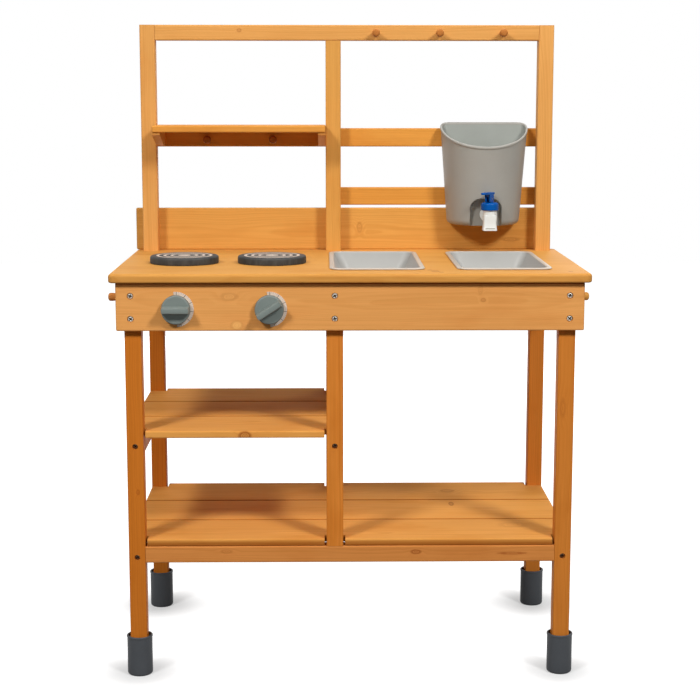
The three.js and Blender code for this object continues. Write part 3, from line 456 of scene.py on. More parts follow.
def knot_group():
    """One knot: how far it pushes the rings aside, how dark it is and how pale its core is."""
    group, n, given = new_group(
        "knot", {"Vector": ("Place", "Centre", "Shrink"), "Float": ("Push", "Dark", "Pale")},
        {"Float": ("Bulge", "Knot", "Core")})
    away = n.vector('MULTIPLY', n.vector('SUBTRACT', given["Place"], given["Centre"]), given["Shrink"])
    ragged = n.noise(given["Place"], 160.0, 2.0, 0.6, 3.0)
    far = n.add(n.length(away), n.mul(n.sub(ragged, 0.5), 0.5))
    core = n.step(far, 1.15, 0.75)
    rim = n.mul(n.step(far, 1.5, 1.05), n.step(far, 0.7, 1.0))
    lines = n.mul(n.add(n.math('SINE', n.mul(far, 17.0)), 1.0), 0.5)
    dark = n.add(n.mul(core, n.mul(lines, 0.55)), n.mul(rim, 0.65))
    dark = n.add(dark, n.mul(core, 0.2))
    n.new("NodeGroupOutput", {
        "Bulge": n.mul(given["Push"], n.step(far, 3.2, 0.0)),
        "Knot": n.math('MULTIPLY', dark, given["Dark"], clamp=True),
        "Core": n.mul(core, given["Pale"]),
    })
    return group


SOFTWOOD, KNOT = softwood_group(), knot_group()
# for grain along x, y or z: which axes are along, across and through the board
GRAIN_ORDER = {'x': "XYZ", 'y': "YXZ", 'z': "ZXY"}


def along_grain(vector, axis):
    """A vector's parts along, across and through the board."""
    return tuple(vector["XYZ".index(letter)] for letter in GRAIN_ORDER[axis])


def wood_material(name, axis, tone, seed, middle, pith, ring, knots=(), gain=1.0, lines=(), gloss=0.08):
    """Stained softwood. A knot has a place, half its length and width, push, darkness and paleness; a line
    of painted shade beside a neighbour has an axis, place, reach and share of light kept."""
    material, n = bare_material(name)
    coords = n.new("TexCoord").outputs
    split = n.split(coords["Object"])
    grain = n.new("CombineXYZ", {i: split[letter] for i, letter in enumerate(GRAIN_ORDER[axis])}).outputs[0]
    grain = n.vector('SUBTRACT', grain, along_grain(middle, axis))
    marks = {"Bulge": 0.0, "Knot": 0.0, "Core": 0.0}
    for x, y, z, length, width, push, dark, pale in knots:
        node = n.new("Group", {
            "Place": grain, "Centre": along_grain(place((x, y, z)) - Vector(middle), axis),
            "Shrink": (1 / (length * MM), 1 / (width * MM), 1 / (width * MM)),
            "Push": push * MM, "Dark": dark, "Pale": pale,
        }, node_tree=KNOT)
        for mark, so_far in marks.items():
            marks[mark] = n.math('ADD' if mark == "Bulge" else 'MAXIMUM', so_far, node.outputs[mark])
    facing = n.abs(n.split(coords["Normal"])[GRAIN_ORDER[axis][0]])
    tones = {key: scaled(colour, gain) for key, colour in zip(("Pale", "Dark", "Pooled"), WOOD_TONES[tone])}
    wood = n.new("Group", {
        "Place": grain, "Pith": tuple(v * MM for v in pith), "Seed": seed, "Ring": ring * MM,
        "End": n.step(facing, 0.75, 0.95), **marks, **tones,
    }, node_tree=SOFTWOOD).outputs
    colour = wood["Color"]
    # each line darkens the wood near it, and browns it as it darkens: painted shade
    for letter, at, reach, keep in lines:
        away = n.abs(n.sub(split[letter], at))
        colour = n.tinted(colour, n.step(away, 0.25 * reach * MM, reach * MM, keep, 1.0), 1.5, 2.0)
    close_material(n, colour, wood["Roughness"], wood["Height"], 0.3, 0.0002, specular=gloss)
    return material


# node: grain axis, tone, side of the board that the heart of the tree lies on (across, through)
BOARDS = {
    'front_apron': ('x', 'peach', (1, 0)), 'back_apron': ('x', 'honey', (1, 0)),
    'left_apron': ('y', 'honey', (1, 0)), 'right_apron': ('y', 'honey', (-1, 0)),
    'splash_panel': ('x', 'honey', (-1, 0)), 'lower_slat': ('x', 'orange', (1, 1)),
    'upper_slat': ('x', 'orange', (1, 1)), 'small_shelf': ('x', 'orange', (0, -1)),
    'left_bracket': ('y', 'honey', (1, 0)), 'right_bracket': ('y', 'honey', (1, 0)),
    'top_rail': ('x', 'straw', (1, 1)), 'left_post': ('z', 'straw', (1, 1)),
    'right_post': ('z', 'straw', (-1, 1)), 'centre_post': ('z', 'honey', (1, -1)),
    'lower_front_rail': ('x', 'russet', (1, 1)), 'lower_back_rail': ('x', 'honey', (1, -1)),
    'lower_left_rail': ('y', 'honey', (1, 1)), 'lower_right_rail': ('y', 'honey', (-1, 1)),
    'middle_left_rail': ('y', 'honey', (1, 1)), 'middle_centre_rail': ('y', 'honey', (-1, 1)),
    'front_left_leg': ('z', 'ochre', (1, 1)), 'front_right_leg': ('z', 'amber', (-1, 1)),
    'front_centre_leg': ('z', 'amber', (1, 1)), 'back_left_leg': ('z', 'ochre', (-1, 1)),
    'back_right_leg': ('z', 'amber', (1, -1)), 'back_centre_leg': ('z', 'amber', (1, 1)),
    'worktop': ('x', 'honey', (0, -1)),
}
for shelf_name in ('lower_shelf', 'middle_shelf'):
    for row in ('front', 'middle', 'back'):
        BOARDS[f'{shelf_name}_{row}_plank'] = ('x', 'clay', (0, -1))

# node: knots as place x, y, z, half length, half width, push, darkness, paleness of the core
KNOTS = {
    'front_apron': [(-180.9, 10, 592, 11, 5, 3, 0.3, 0.25), (-169.5, 10, 549, 8, 6, 4, 0.25, 0.8),
                    (198, 10, 586.5, 3.4, 2.6, 3, 0.55, 0), (193.6, 10, 602.5, 3, 7, 2, 0.25, 0)],
    'worktop': [(120.5, 53, 626, 3, 7, 2, 0.55, 0), (128, 36, 626, 5, 9, 4, 0.7, 0),
                (136, 21, 626, 3, 5, 2, 0.6, 0), (331, 28.5, 626, 3, 4, 3, 0.8, 0),
                (-20, 17, 626, 3, 2, 2, 0.6, 0)],
    'top_rail': [(-180, 363.5, 995, 3.4, 2.6, 2, 0.7, 0)],
    'middle_shelf_front_plank': [(-160.0, 21, 378, 8, 6, 5, 1.0, 0)],
    'lower_shelf_middle_plank': [(171.3, 235.4, 216, 3.5, 10, 5, 0.95, 0)],
    'lower_shelf_back_plank': [(171.4, 325.6, 216, 10, 9, 5, 0.4, 0), (-7.2, 372.9, 216, 9, 6, 4, 0.5, 0)],
    'lower_shelf_front_plank': [(259, 102, 216, 20, 14, 8, 0.2, 0)],
    'lower_front_rail': [(-189.6, 21, 197.6, 8, 3, 3, 0.35, 0), (100.7, 21, 196, 7, 3.2, 3, 0.9, 0),
                         (248.7, 21, 193.5, 20, 2, 2, 0.8, 0)],
    'front_left_leg': [(-323, 21, 291.3, 3.6, 2.6, 3, 0.6, 0), (-339, 30, 465.6, 12, 5, 4, 0.4, 0)],
    'splash_panel': [(21.6, 390, 664.5, 4, 8, 5, 0.45, 0), (281, 390, 643.7, 14, 3, 3, 0.5, 0)],
    'front_right_leg': [(322, 22, 420, 14, 4, 4, 0.35, 0)],
    'back_apron': [(-90, 399, 580, 11, 9, 7, 0.8, 0), (210, 399, 560, 8, 6, 5, 0.6, 0)],
    'right_apron': [(345, 250, 580, 10, 8, 6, 0.6, 0)],
    'small_shelf': [(-120, 320, 838, 8, 5, 4, 0.5, 0)],
}

# how much paler or darker than its tone a board is
GAINS = {
    'worktop': 0.96, 'splash_panel': 0.96, 'front_apron': 1.03, 'centre_post': 0.95, 'right_post': 1.03,
    'front_centre_leg': 1.08, 'back_left_leg': 1.03, 'back_right_leg': 1.22, 'lower_front_rail': 1.02,
    'lower_shelf_front_plank': 0.93, 'middle_shelf_front_plank': 0.95,
}
PLANK_GLOSS, BOARD_GLOSS = 0.01, 0.08
# where the heart of the tree may lie: how far out, how far along, and how far off as a share of the board
HEART_OUT, HEART_ALONG, HEART_DRIFT = (22, 46), (-90, 90), (-0.18, 0.18)
RING_WIDTHS, GAIN_LIMITS = (2.0, 3.1), (0.985, 1.015)


def painted_shade_lines(node_name, low, high):
    """Painted shade: the shadow under the worktop's overhang, on the worktop's front edge, in the seams
    between planks, and low on the lower front plank and at its ends.
    """
    # painted shadow of the worktop's overhang along the apron's top
    if node_name == 'front_apron':
        return [('Z', high.z, 3.4, 0.25)]
    # painted shade on the worktop's front edge, which also turns it more orange
    if node_name == 'worktop':
        return [('Y', low.y, 5.0, 0.9)]
    if not node_name.endswith('_plank'):
        return []
    seams = {'front': [high.y], 'middle': [low.y, high.y], 'back': [low.y]}[node_name.split('_')[-2]]
    # painted shade along the seams between planks
    lines = [('Y', y, 2.8, 0.6) for y in seams]
    # painted shade low on the lower front plank's face and at both its ends, beside the rail and the legs
    if node_name == 'lower_shelf_front_plank':
        lines += [('Z', low.z, 12.0, 0.55), ('X', low.x, 4.0, 0.3), ('X', high.x, 4.0, 0.3)]
    return lines


def board_wood(index, node_name, axis, tone, side):
    """The wood of one board, cut from a tree of its own."""
    low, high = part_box(node_name)
    size = along_grain((high - low) / MM, axis)
    offset = spread(index, *HEART_OUT)
    pith = (spread(index + 3, *HEART_ALONG),
            side[0] * offset + spread(index + 7, *HEART_DRIFT) * size[1],
            side[1] * offset + spread(index + 11, *HEART_DRIFT) * size[2])
    return wood_material(
        "wood_" + node_name, axis, tone, 3.7 * index + 1.3, (low + high) / 2, pith,
        ring=spread(index + 5, *RING_WIDTHS), knots=KNOTS.get(node_name, ()),
        gain=GAINS.get(node_name, 1.0) * spread(index + 2, *GAIN_LIMITS),
        lines=painted_shade_lines(node_name, low, high),
        gloss=PLANK_GLOSS if node_name.endswith('_plank') else BOARD_GLOSS)


def repaint(node_name, material):
    """A solid that stays visible takes a material."""
    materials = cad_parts[node_name].data.materials
    materials.clear()
    materials.append(material)


wood_of = {}
for index, (node_name, cut) in enumerate(BOARDS.items()):
    wood_of[node_name] = board_wood(index, node_name, *cut)
    if node_name != 'worktop':
        repaint(node_name, wood_of[node_name])

# Plastic, steel and paint


def moulded(name, colour, second, roughness, speckle=1200.0, bump=0.06, specular=0.5, streak=None):
    """Moulded plastic: slight clouding, a fine speckle and a soft texture."""
    material, n = bare_material(name)
    spot = n.new("TexCoord").outputs["Object"]
    cloud = n.noise(spot, 18.0, 3.0, 0.55, 2.0)
    fine = n.noise(spot, speckle, 2.0, 0.6, 5.0)
    mixed = n.mix(n.step(n.add(n.mul(cloud, 0.7), n.mul(fine, 0.3)), 0.3, 0.72), colour, second)
    if streak:
        # lighter streaks that run up and down
        pale_streak = n.noise(spot, streak, 3.0, 0.6, 9.0)
        mixed = n.mix(n.step(pale_streak, 0.62, 0.8, 0.0, 0.35), mixed, scaled(colour, 1.25))
    rough = n.linear(cloud, 0.3, 0.7, roughness - 0.05, roughness + 0.07)
    close_material(n, mixed, rough, fine, bump, 0.0001, specular)
    return material


cap_grey = moulded("cap_grey", srgb(65, 68, 72), srgb(74, 77, 81), 0.55, 900.0, 0.12, 0.3, (40.0, 40.0, 9.0))
knob_grey = moulded("knob_grey", srgb(108, 117, 113), srgb(116, 125, 120), 0.42, 1500.0, 0.05, 0.35)
# the basins' walls are a darker copy of the rim's plastic: painted shade
sink_shaded_grey = moulded("sink_shaded_grey", srgb(170, 169, 165), srgb(177, 176, 172), 0.36, 1200.0, 0.05, 0.35)
sink_rim = moulded("sink_rim", srgb(188, 181, 170), srgb(196, 189, 178), 0.36, 1200.0, 0.05, 0.35)
tank_grey = moulded("tank_grey", srgb(150, 147, 139), srgb(158, 155, 147), 0.45, 1000.0, 0.08)
# the inside is paler and a little greener than the outside: the paleness is painted light
tank_lit_inside = moulded("tank_lit_inside", srgb(153, 156, 149), srgb(161, 164, 157), 0.45, 1000.0, 0.08)
tap_white = moulded("tap_white", srgb(225, 226, 220), srgb(232, 233, 228), 0.32, 1500.0, 0.04)
tap_blue = moulded("tap_blue", srgb(0, 76, 152), srgb(0, 86, 168), 0.26, 1500.0, 0.04, 0.1)
# a grey for the slot under the spout: painted shade
slot_painted_shade = moulded("slot_painted_shade", srgb(158, 154, 142), srgb(168, 164, 152), 0.5)
seal_black = moulded("seal_black", srgb(34, 34, 37), srgb(44, 44, 47), 0.7, 1500.0, 0.1)
# dark brown for the deep part of screw recesses: painted shade
recess_shade = moulded("recess_shade", srgb(44, 32, 22), srgb(58, 42, 28), 0.7, 1500.0, 0.1, 0.1)


def steel(name, colour, roughness):
    """Plated steel, clouded and finely grained."""
    material, n = bare_material(name)
    spot = n.new("TexCoord").outputs["Object"]
    cloud = n.noise(spot, 420.0, 3.0, 0.6, 1.0)
    fine = n.noise(spot, 5200.0, 2.0, 0.6, 4.0)
    mixed = n.mix(n.step(cloud, 0.35, 0.7), colour, scaled(colour, 0.8))
    rough = n.linear(cloud, 0.3, 0.7, roughness - 0.08, roughness + 0.1)
    close_material(n, mixed, rough, fine, 0.1, 0.00005, metallic=1.0)
    return material


zinc = steel("zinc", srgb(204, 200, 192), 0.3)
# a darker, browner zinc for the leg bolts, deep in their holes: painted shade
zinc_shaded = steel("zinc_shaded", srgb(150, 130, 106), 0.45)
# the knobs' axles keep their own shape; only their ends can be seen
for side in ('left', 'right'):
    repaint(f'{side}_knob_axle', zinc)

# the printed rings on a hob: a spot in the middle, and three rings with half their width
HOB_SPOT, HOB_RINGS, HOB_RING_HALF, HOB_BLUR = (10.4, 9.6), (20.0, 31.0, 42.0), 2.1, 0.3


def hob_paint(name, centre, seed):
    """Charcoal painted wood with pale printed rings on its top face."""
    material, n = bare_material(name)
    coords = n.new("TexCoord").outputs
    spot = n.vector('SUBTRACT', coords["Object"], tuple(place(centre)))
    split = n.split(spot)
    ragged = n.noise(spot, 260.0, 3.0, 0.6, seed)
    far = n.add(n.flat(split["X"], split["Y"]), n.mul(n.sub(ragged, 0.5), 0.0012))
    printed = n.step(far, HOB_SPOT[0] * MM, HOB_SPOT[1] * MM)
    for radius in HOB_RINGS:
        off = n.abs(n.sub(far, radius * MM))
        ring = n.step(off, (HOB_RING_HALF + HOB_BLUR) * MM, (HOB_RING_HALF - HOB_BLUR) * MM)
        printed = n.max(printed, ring)
    grain = n.noise(spot, (90.0, 500.0, 60.0), 3.0, 0.65, seed)
    cloud = n.noise(spot, 40.0, 2.0, 0.5, seed + 1)
    up = n.step(n.split(coords["Normal"])["Z"], 0.8, 0.95)
    streak = n.add(n.mul(grain, 0.6), n.mul(cloud, 0.4))
    dark = n.mix(n.step(streak, 0.35, 0.7), srgb(22, 24, 23), srgb(58, 59, 56))
    pale = n.mix(n.step(grain, 0.35, 0.7), srgb(224, 209, 194), srgb(199, 181, 164))
    worn = n.step(grain, 0.82, 0.7)
    colour = n.mix(n.mul(n.mul(printed, up), worn), dark, pale)
    close_material(n, colour, n.linear(grain, 0.3, 0.7, 0.55, 0.72), grain, 0.3, 0.0002)
    return material


TICK_DEGREES, FIRST_TICK_DEGREES, MINOR_TICKS = 32.0, 200.0, 5.0


def dial_print(name, centre, seed):
    """Pale scale plate with dark radial ticks, and short ones between them near its rim."""
    material, n = bare_material(name)
    spot = n.vector('SUBTRACT', n.new("TexCoord").outputs["Object"], tuple(place(centre)))
    split = n.split(spot)
    angle = n.math('ARCTAN2', split["Z"], split["X"])
    far = n.flat(split["X"], split["Z"])
    turns = n.math('DIVIDE', n.add(angle, math.radians(FIRST_TICK_DEGREES)), math.radians(TICK_DEGREES))

    def ticks(count, blur):
        """Lines across the plate wherever a count of turns is whole."""
        beside = n.sub(0.5, n.abs(n.sub(n.math('FRACT', count), 0.5)))
        return n.step(n.mul(beside, far), *blur)

    major = ticks(turns, (0.0011, 0.0006))
    minor = n.mul(ticks(n.mul(turns, MINOR_TICKS), (0.0032, 0.0018)), n.step(far, 0.0246, 0.0250))
    cloud = n.noise(spot, 300.0, 3.0, 0.6, seed)
    plate = n.mix(n.step(cloud, 0.3, 0.7), srgb(216, 194, 176), srgb(226, 208, 192))
    colour = n.mix(n.mul(n.max(major, n.mul(minor, 0.6)), 0.85), plate, srgb(70, 62, 56))
    close_material(n, colour, n.linear(cloud, 0.3, 0.7, 0.42, 0.55), cloud, 0.05, 0.0001)
    return material


# Worktop

WORKTOP_X, WORKTOP_Y, WORKTOP_Z = (-360, 360), (0, 400), (613, 627)
WORKTOP_CORNER, EDGE_BELOW, EDGE_ABOVE = 9.0, 3.0, 5.0
SINK_X = {'left': 41.5, 'right': 235.5}
SINK_HALF, SINK_Y, SINK_RIM, SINK_CORNER = 72.5, (50, 325), 5.5, 18.0
GAP = 0.3


def sink_outline(x, inset, steps=8):
    """A sink's outline from above, a little way in from its rim."""
    corner = SINK_CORNER * (1 - inset / (2 * SINK_HALF))
    return round_rect((x - SINK_HALF + inset, x + SINK_HALF - inset),
                      (SINK_Y[0] + inset, SINK_Y[1] - inset), corner, steps)


def worktop_edge():
    """The board's outlines from its underside to its top, with both edges rounded."""
    rings = []
    for radius, z, turn in ((EDGE_BELOW, WORKTOP_Z[0] + EDGE_BELOW, angles(-QUARTER, 0, 6)),
                            (EDGE_ABOVE, WORKTOP_Z[1] - EDGE_ABOVE, angles(0, QUARTER, 6))):
        for angle in turn:
            inset = radius * (1 - math.cos(angle))
            outline = round_rect((WORKTOP_X[0] + inset, WORKTOP_X[1] - inset),
                                 (WORKTOP_Y[0] + inset, WORKTOP_Y[1] - inset), WORKTOP_CORNER - inset)
            rings.append(lifted(outline, z + radius * math.sin(angle)))
    return rings


def worktop_shape():
    """The board with its two cut-outs."""
    edge = worktop_edge()
    holes = []
    for x in SINK_X.values():
        holes.append([lifted(sink_outline(x, SINK_RIM - GAP), z) for z in WORKTOP_Z])
    shape = Shape()
    for rings in [edge] + holes:
        shape.add(rings_to_skin(rings, close_ends=False))
    for end in (0, -1):
        shape.add(filled([edge[end]] + [walls[end] for walls in holes]))
    return shape


board = piece('worktop_board', worktop_shape(), [wood_of['worktop']], 'kitchen_frame',
              ('worktop',), welded=True)
# flat faces stay flat where they meet a rounded edge
board.modifiers.new("shading", 'WEIGHTED_NORMAL').keep_sharp = True

# Hobs

HOB_X = {'left': -259.5, 'right': -121.5}
HOB_Y, HOB_RADIUS, HOB_HEIGHT, HOB_FOOT, HOB_EDGE = 165, 54, 12, 0.8, 2
for index, (side, x) in enumerate(HOB_X.items()):
    centre = (x, HOB_Y, WORKTOP_Z[1])
    profile = [(0, 0, 0), (HOB_RADIUS - HOB_FOOT, 0, 0.3), (HOB_RADIUS, HOB_FOOT, 0.6),
               (HOB_RADIUS, HOB_HEIGHT - HOB_EDGE, 1.6), (HOB_RADIUS - HOB_EDGE, HOB_HEIGHT, 1.6),
               (0, HOB_HEIGHT, 0)]
    shape = Shape().add(lathe(profile, centre))
    piece(f'{side}_hob_disc', shape, [hob_paint(f'{side}_hob_paint', centre, 3.0 + index)],
          'kitchen_frame', (f'{side}_hob',))

# Knobs and the scale plates behind them

KNOB_X = {'left': -260, 'right': -121}
KNOB_TURN = {'left': 0.0, 'right': math.radians(33)}
KNOB_Z, KNOB_RADIUS, KNOB_BACK, KNOB_BASE, KNOB_FOOT, KNOB_EDGE = 573.2, 21.75, 7.7, 9, 0.5, 1.4
GRIP_RISE, GRIP_HALF, GRIP_SET, GRIP_EDGE, GRIP_SUNK = 12.5, 6.6, 0.8, 1.5, 2
GRIP_LENGTH_TAPER_SHARE, GRIP_WIDTH_TAPER_SHARE = 0.03, 0.36
DIAL_TURN, DIAL_RADII, DIAL_BACK, DIAL_THICK = (math.radians(-87), math.radians(98)), (12.0, 26.4), 9, 1.0


def knob_shape(x, turn):
    """A low disc with a bar across it; the bar's ends follow the disc's rim, and it narrows to its top."""
    centre = (x, KNOB_BACK, KNOB_Z)
    disc = [(0, 0, 0), (KNOB_RADIUS - KNOB_FOOT, 0, 0.3), (KNOB_RADIUS, KNOB_FOOT, 0.3),
            (KNOB_RADIUS, KNOB_BASE - KNOB_EDGE, 1.1), (KNOB_RADIUS - KNOB_EDGE, KNOB_BASE, 1.1),
            (0, KNOB_BASE, 0)]
    shape = Shape().add(lathe(disc, centre, FORWARD))
    end = KNOB_RADIUS - GRIP_SET
    reach = math.asin(GRIP_HALF / end)
    outline = arc((x, KNOB_Z), end, angles(-reach, reach, 10))
    outline += arc((x, KNOB_Z), end, angles(math.pi - reach, math.pi + reach, 10))
    face = KNOB_BACK - KNOB_BASE
    verts, faces = slab(outline, (face - GRIP_RISE, KNOB_BACK - GRIP_SUNK), 'y', GRIP_EDGE, 5)
    for v in verts:
        rise = max(0.0, (face - v.y) / GRIP_RISE)
        v.x = x + (v.x - x) * (1 - GRIP_LENGTH_TAPER_SHARE * rise)
        v.z = KNOB_Z + (v.z - KNOB_Z) * (1 - GRIP_WIDTH_TAPER_SHARE * rise)
    return shape.add(turned_by((verts, faces), centre, 'Y', -turn))


def dial_shape(x):
    """A flat ring, a little over half a turn long."""
    start, end = DIAL_TURN
    outline = arc((x, KNOB_Z), DIAL_RADII[1], angles(start, end, 64))
    outline += arc((x, KNOB_Z), DIAL_RADII[0], angles(end, start, 64))
    return Shape().add(slab(outline, (DIAL_BACK - DIAL_THICK, DIAL_BACK), 'y', 0.25, 2))


for index, (side, x) in enumerate(KNOB_X.items()):
    piece(f'{side}_knob_grip', knob_shape(x, KNOB_TURN[side]), [knob_grey], f'{side}_control',
          (f'{side}_knob',))
    printed = dial_print(f'{side}_dial_print', (x, KNOB_BACK, KNOB_Z), 6.0 + index)
    piece(f'{side}_dial_plate', dial_shape(x), [printed], 'kitchen_frame')

# Foot caps

LEG_X = {'left': -326.25, 'right': 326.25}
LEG_Y = {'front': 32.75, 'back': 376.25}
LEG_HALF = 12.75
CAP_RADIUS, CAP_RIM, CAP_HEIGHT, CAP_FLOOR = 19.4, 20.0, 62.5, 5.2
CAP_GROOVE, CAP_GROOVE_DEPTH = 17.4, 4.5
# how much of the pocket's diagonal its rounded corners take away
CAP_POCKET_CUT = 0.924


def pocket_reach(angle):
    """How far the square pocket for the leg reaches from the middle."""
    half = LEG_HALF + GAP
    square = half / max(abs(math.cos(angle)), abs(math.sin(angle)))
    return min(square, half * math.sqrt(2) - CAP_POCKET_CUT)


def cap_shape(x, y):
    """A cap in one skin: its turned outside, a groove round the leg at the top, and the leg's pocket."""
    top, groove = CAP_HEIGHT, CAP_HEIGHT - CAP_GROOVE_DEPTH
    profile = [(0, 0, 0), (CAP_RADIUS - 2.2, 0, 0.8), (CAP_RADIUS - 0.4, 1.8, 0.8), (CAP_RADIUS, 3.2, 0.8),
               (CAP_RADIUS, top - 3.4, 0.4), (CAP_RIM, top - 2.8, 0.4), (CAP_RIM, top - 0.6, 0.5),
               (CAP_RIM - 0.7, top, 0), (CAP_GROOVE + 0.6, top, 0), (CAP_GROOVE + 0.1, top - 0.5, 0),
               (CAP_GROOVE, groove, 0)]
    turn = around(SIDES)
    rings = [lifted(arc((x, y), radius, turn), z) for radius, z in eased(profile)[1:]]
    pocket = [arc((x, y), pocket_reach(a), [a])[0] for a in turn]
    return Shape().add(rings_to_skin(rings + [lifted(pocket, groove), lifted(pocket, CAP_FLOOR)]))


for end, y in LEG_Y.items():
    for side, x in LEG_X.items():
        piece(f'{end}_{side}_foot', cap_shape(x, y), [cap_grey], 'kitchen_frame',
              (f'{end}_{side}_foot_cap',))

# Pegs

PEG_RADIUS, PEG_NECK, PEG_REACH, PEG_SIDES, PEG_SEAT = 6.5, 5.0, 27.0, 48, 0.1
TENON_RADIUS, TENON_END = 4.0, -6.9
PEG_PITH, PEG_RING_WIDTH = (0, 9, 5), 1.7
RAIL_PEGS = {'left': 47.5, 'middle': 153.5, 'right': 259.5}
SLAT_PEGS = (-236, -125)


def peg_shape(point, direction, grow):
    """A turned peg that stands out of the timber, with its tenon in the hole."""
    reach, radius, neck = PEG_REACH + grow, PEG_RADIUS + grow, PEG_NECK + grow
    profile = [(0, reach, 0), (radius * 0.55, reach - 0.2, 1), (radius * 0.9, reach - 1.6, 1),
               (radius, reach - 3.6, 1.4), (radius, reach - 7, 3), (neck + 0.4, reach * 0.42, 4),
               (neck, reach * 0.3, 3), (neck, PEG_SEAT, 0), (TENON_RADIUS, PEG_SEAT, 0),
               (TENON_RADIUS, TENON_END, 0), (0, TENON_END, 0)]
    return Shape().add(lathe(profile, point, direction, PEG_SIDES))


# name, seat, direction, nodes replaced, how much larger than the node's peg, tone, gain
pegs = [(f'rail_peg_{k}', (x, 363.5, 990.5), FORWARD, (f'top_rail_peg_{k}',), 0.0, 'chestnut', 1.0)
        for k, x in RAIL_PEGS.items()]
# the pegs under the small shelf are made darker by their gain: painted shade
pegs += [(f'slat_peg_{i}', (x, 389.0, 814.5), FORWARD, (), 0.12, 'chestnut', 0.62)
         for i, x in enumerate(SLAT_PEGS)]
pegs += [('left_apron_peg', (-350, 136, 576.5), (-1, 0, 0), ('left_side_peg',), 0.0, 'russet', 1.02),
         ('right_apron_peg', (350, 136, 576.5), (1, 0, 0), ('right_side_peg',), 0.0, 'honey', 1.02)]
for index, (name, seat, direction, nodes_replaced, grow, tone, gain) in enumerate(pegs):
    wood = wood_material("wood_" + name, 'x' if direction[0] else 'y', tone, 60.0 + index, place(seat),
                         PEG_PITH, PEG_RING_WIDTH, gain=gain)
    piece(name, peg_shape(seat, direction, grow), [wood], 'kitchen_frame', nodes_replaced)

# Sinks

SINK_DEPTH, SINK_WALL, SINK_LIP = 56, 2.0, 2.5
SINK_TAPER, SINK_FOOT, SINK_FOOT_SHARE, SINK_FLOOR_SHARE = 26, 11.0, 0.9, 1.4


def basin_levels(extra, base, top):
    """Insets and heights of the tapered wall with its rounded foot, from the floor up."""
    levels = [(SINK_TAPER + SINK_FOOT * SINK_FLOOR_SHARE, base)]
    wall_foot = SINK_TAPER * (1 - SINK_FOOT / (SINK_DEPTH - SINK_WALL))
    for angle in angles(0, QUARTER, 8):
        levels.append((wall_foot + SINK_FOOT * SINK_FOOT_SHARE * (1 - math.sin(angle)),
                       base + SINK_FOOT * (1 - math.cos(angle))))
    levels.append((0, top))
    return [(SINK_RIM + extra + inset, z) for inset, z in levels]


def sink_shape(x):
    """A basin in one skin: its outside, the lip that lies on the board, its mouth and its inside."""
    low = WORKTOP_Z[1] + GAP
    high = low + SINK_LIP
    floor, wall = high - SINK_DEPTH, SINK_RIM + SINK_WALL
    outside = basin_levels(0, floor, low)
    lip = [(1.0, low), (0.35, low + 0.25), (0.0, low + 0.9), (0.0, high - 1.0), (0.3, high - 0.35),
           (1.0, high), (wall - 1.4, high), (wall - 0.5, high - 0.3), (wall + 0.1, high - 1.1)]
    inside = basin_levels(SINK_WALL, floor + SINK_WALL, high - 2)
    rings = [lifted(sink_outline(x, inset, 10), z) for inset, z in outside + lip + inside[::-1]]
    shape = Shape().add(rings_to_skin(rings))
    rows = (face // len(rings[0]) for face in range(len(shape.faces)))
    # the lip takes the rim's colour, and the rest the darker copy, painted shade
    shape.finish = [int(0 <= row - len(outside) + 1 < len(lip)) for row in rows]
    return shape


for side, x in SINK_X.items():
    piece(f'{side}_basin_shell', sink_shape(x), [sink_shaded_grey, sink_rim], f'{side}_basin',
          (f'{side}_sink',), sharp=55)

# Water tank

TANK_X, TANK_BOTTOM, TANK_TOP, TANK_BACK = 231, 672, 843, 388.7
TANK_RISE = TANK_TOP - TANK_BOTTOM
TANK_HALF, TANK_DEPTH, TANK_WALL, TANK_FOOT = (61, 73.5), (72, 88), 2.5, 9.0
# how far the rim falls for each millimetre to the front
TANK_SLOPE = 0.466
TANK_FLAT_SHARE, TANK_EAR_SHARE, TANK_RINGS_SHARE = 0.84, 0.19, 0.55
BACK_STEPS, EAR_STEPS, FRONT_STEPS = 12, 10, 230
FOOT_RINGS, DENSE_RINGS, UPPER_RINGS, RIM_RINGS = 8, 52, 10, 14
ARCH_HALF, ARCH_TOP, ARCH_CORNER, ARCH_BACK, ARCH_EDGE, ARCH_MARGIN = 25.5, 717, 17, 329.83, 1.3, 4
HOOK_HALF, HOOK_BACK, HOOK_WALL, HOOK_END, HOOK_SUNK = 60, 400.3, 3, 813, 1.5
RIB_COUNT, RIB_STEP, RIB_WIDTH, RIB_Z, RIB_SUNK = 4, 39, 3, (833.3, 841.5), 1.2


def tank_outline(half, depth, inset):
    """From above, starting at the back right; the back wall lies at y = 0."""
    flat, ear = half * TANK_FLAT_SHARE, depth * TANK_EAR_SHARE
    corner = (half - inset - flat, ear - inset)
    points = [(lerp(flat, -flat, i / BACK_STEPS), -inset) for i in range(BACK_STEPS + 1)]
    points += arc((-flat, -ear), corner, angles(QUARTER, math.pi, EAR_STEPS)[1:-1])
    points += arc((0, -ear), (half - inset, depth - ear - inset), angles(math.pi, math.tau, FRONT_STEPS))
    points += arc((flat, -ear), corner, angles(0, QUARTER, EAR_STEPS)[1:-1])
    return points


def tank_ring(share, inset, drop=None):
    """Points of the wall at a share of its height, or where it meets the sloping rim, lowered by a drop."""
    low = tank_outline(TANK_HALF[0], TANK_DEPTH[0], inset)
    high = tank_outline(TANK_HALF[1], TANK_DEPTH[1], inset)
    points = []
    for a, b in zip(low, high):
        t = share
        if drop is not None:
            t = (TANK_RISE - drop + TANK_SLOPE * a[1]) / (TANK_RISE - TANK_SLOPE * (b[1] - a[1]))
        points.append(Vector((TANK_X + lerp(a[0], b[0], t), TANK_BACK + lerp(a[1], b[1], t),
                              TANK_BOTTOM + TANK_RISE * t)))
    return points


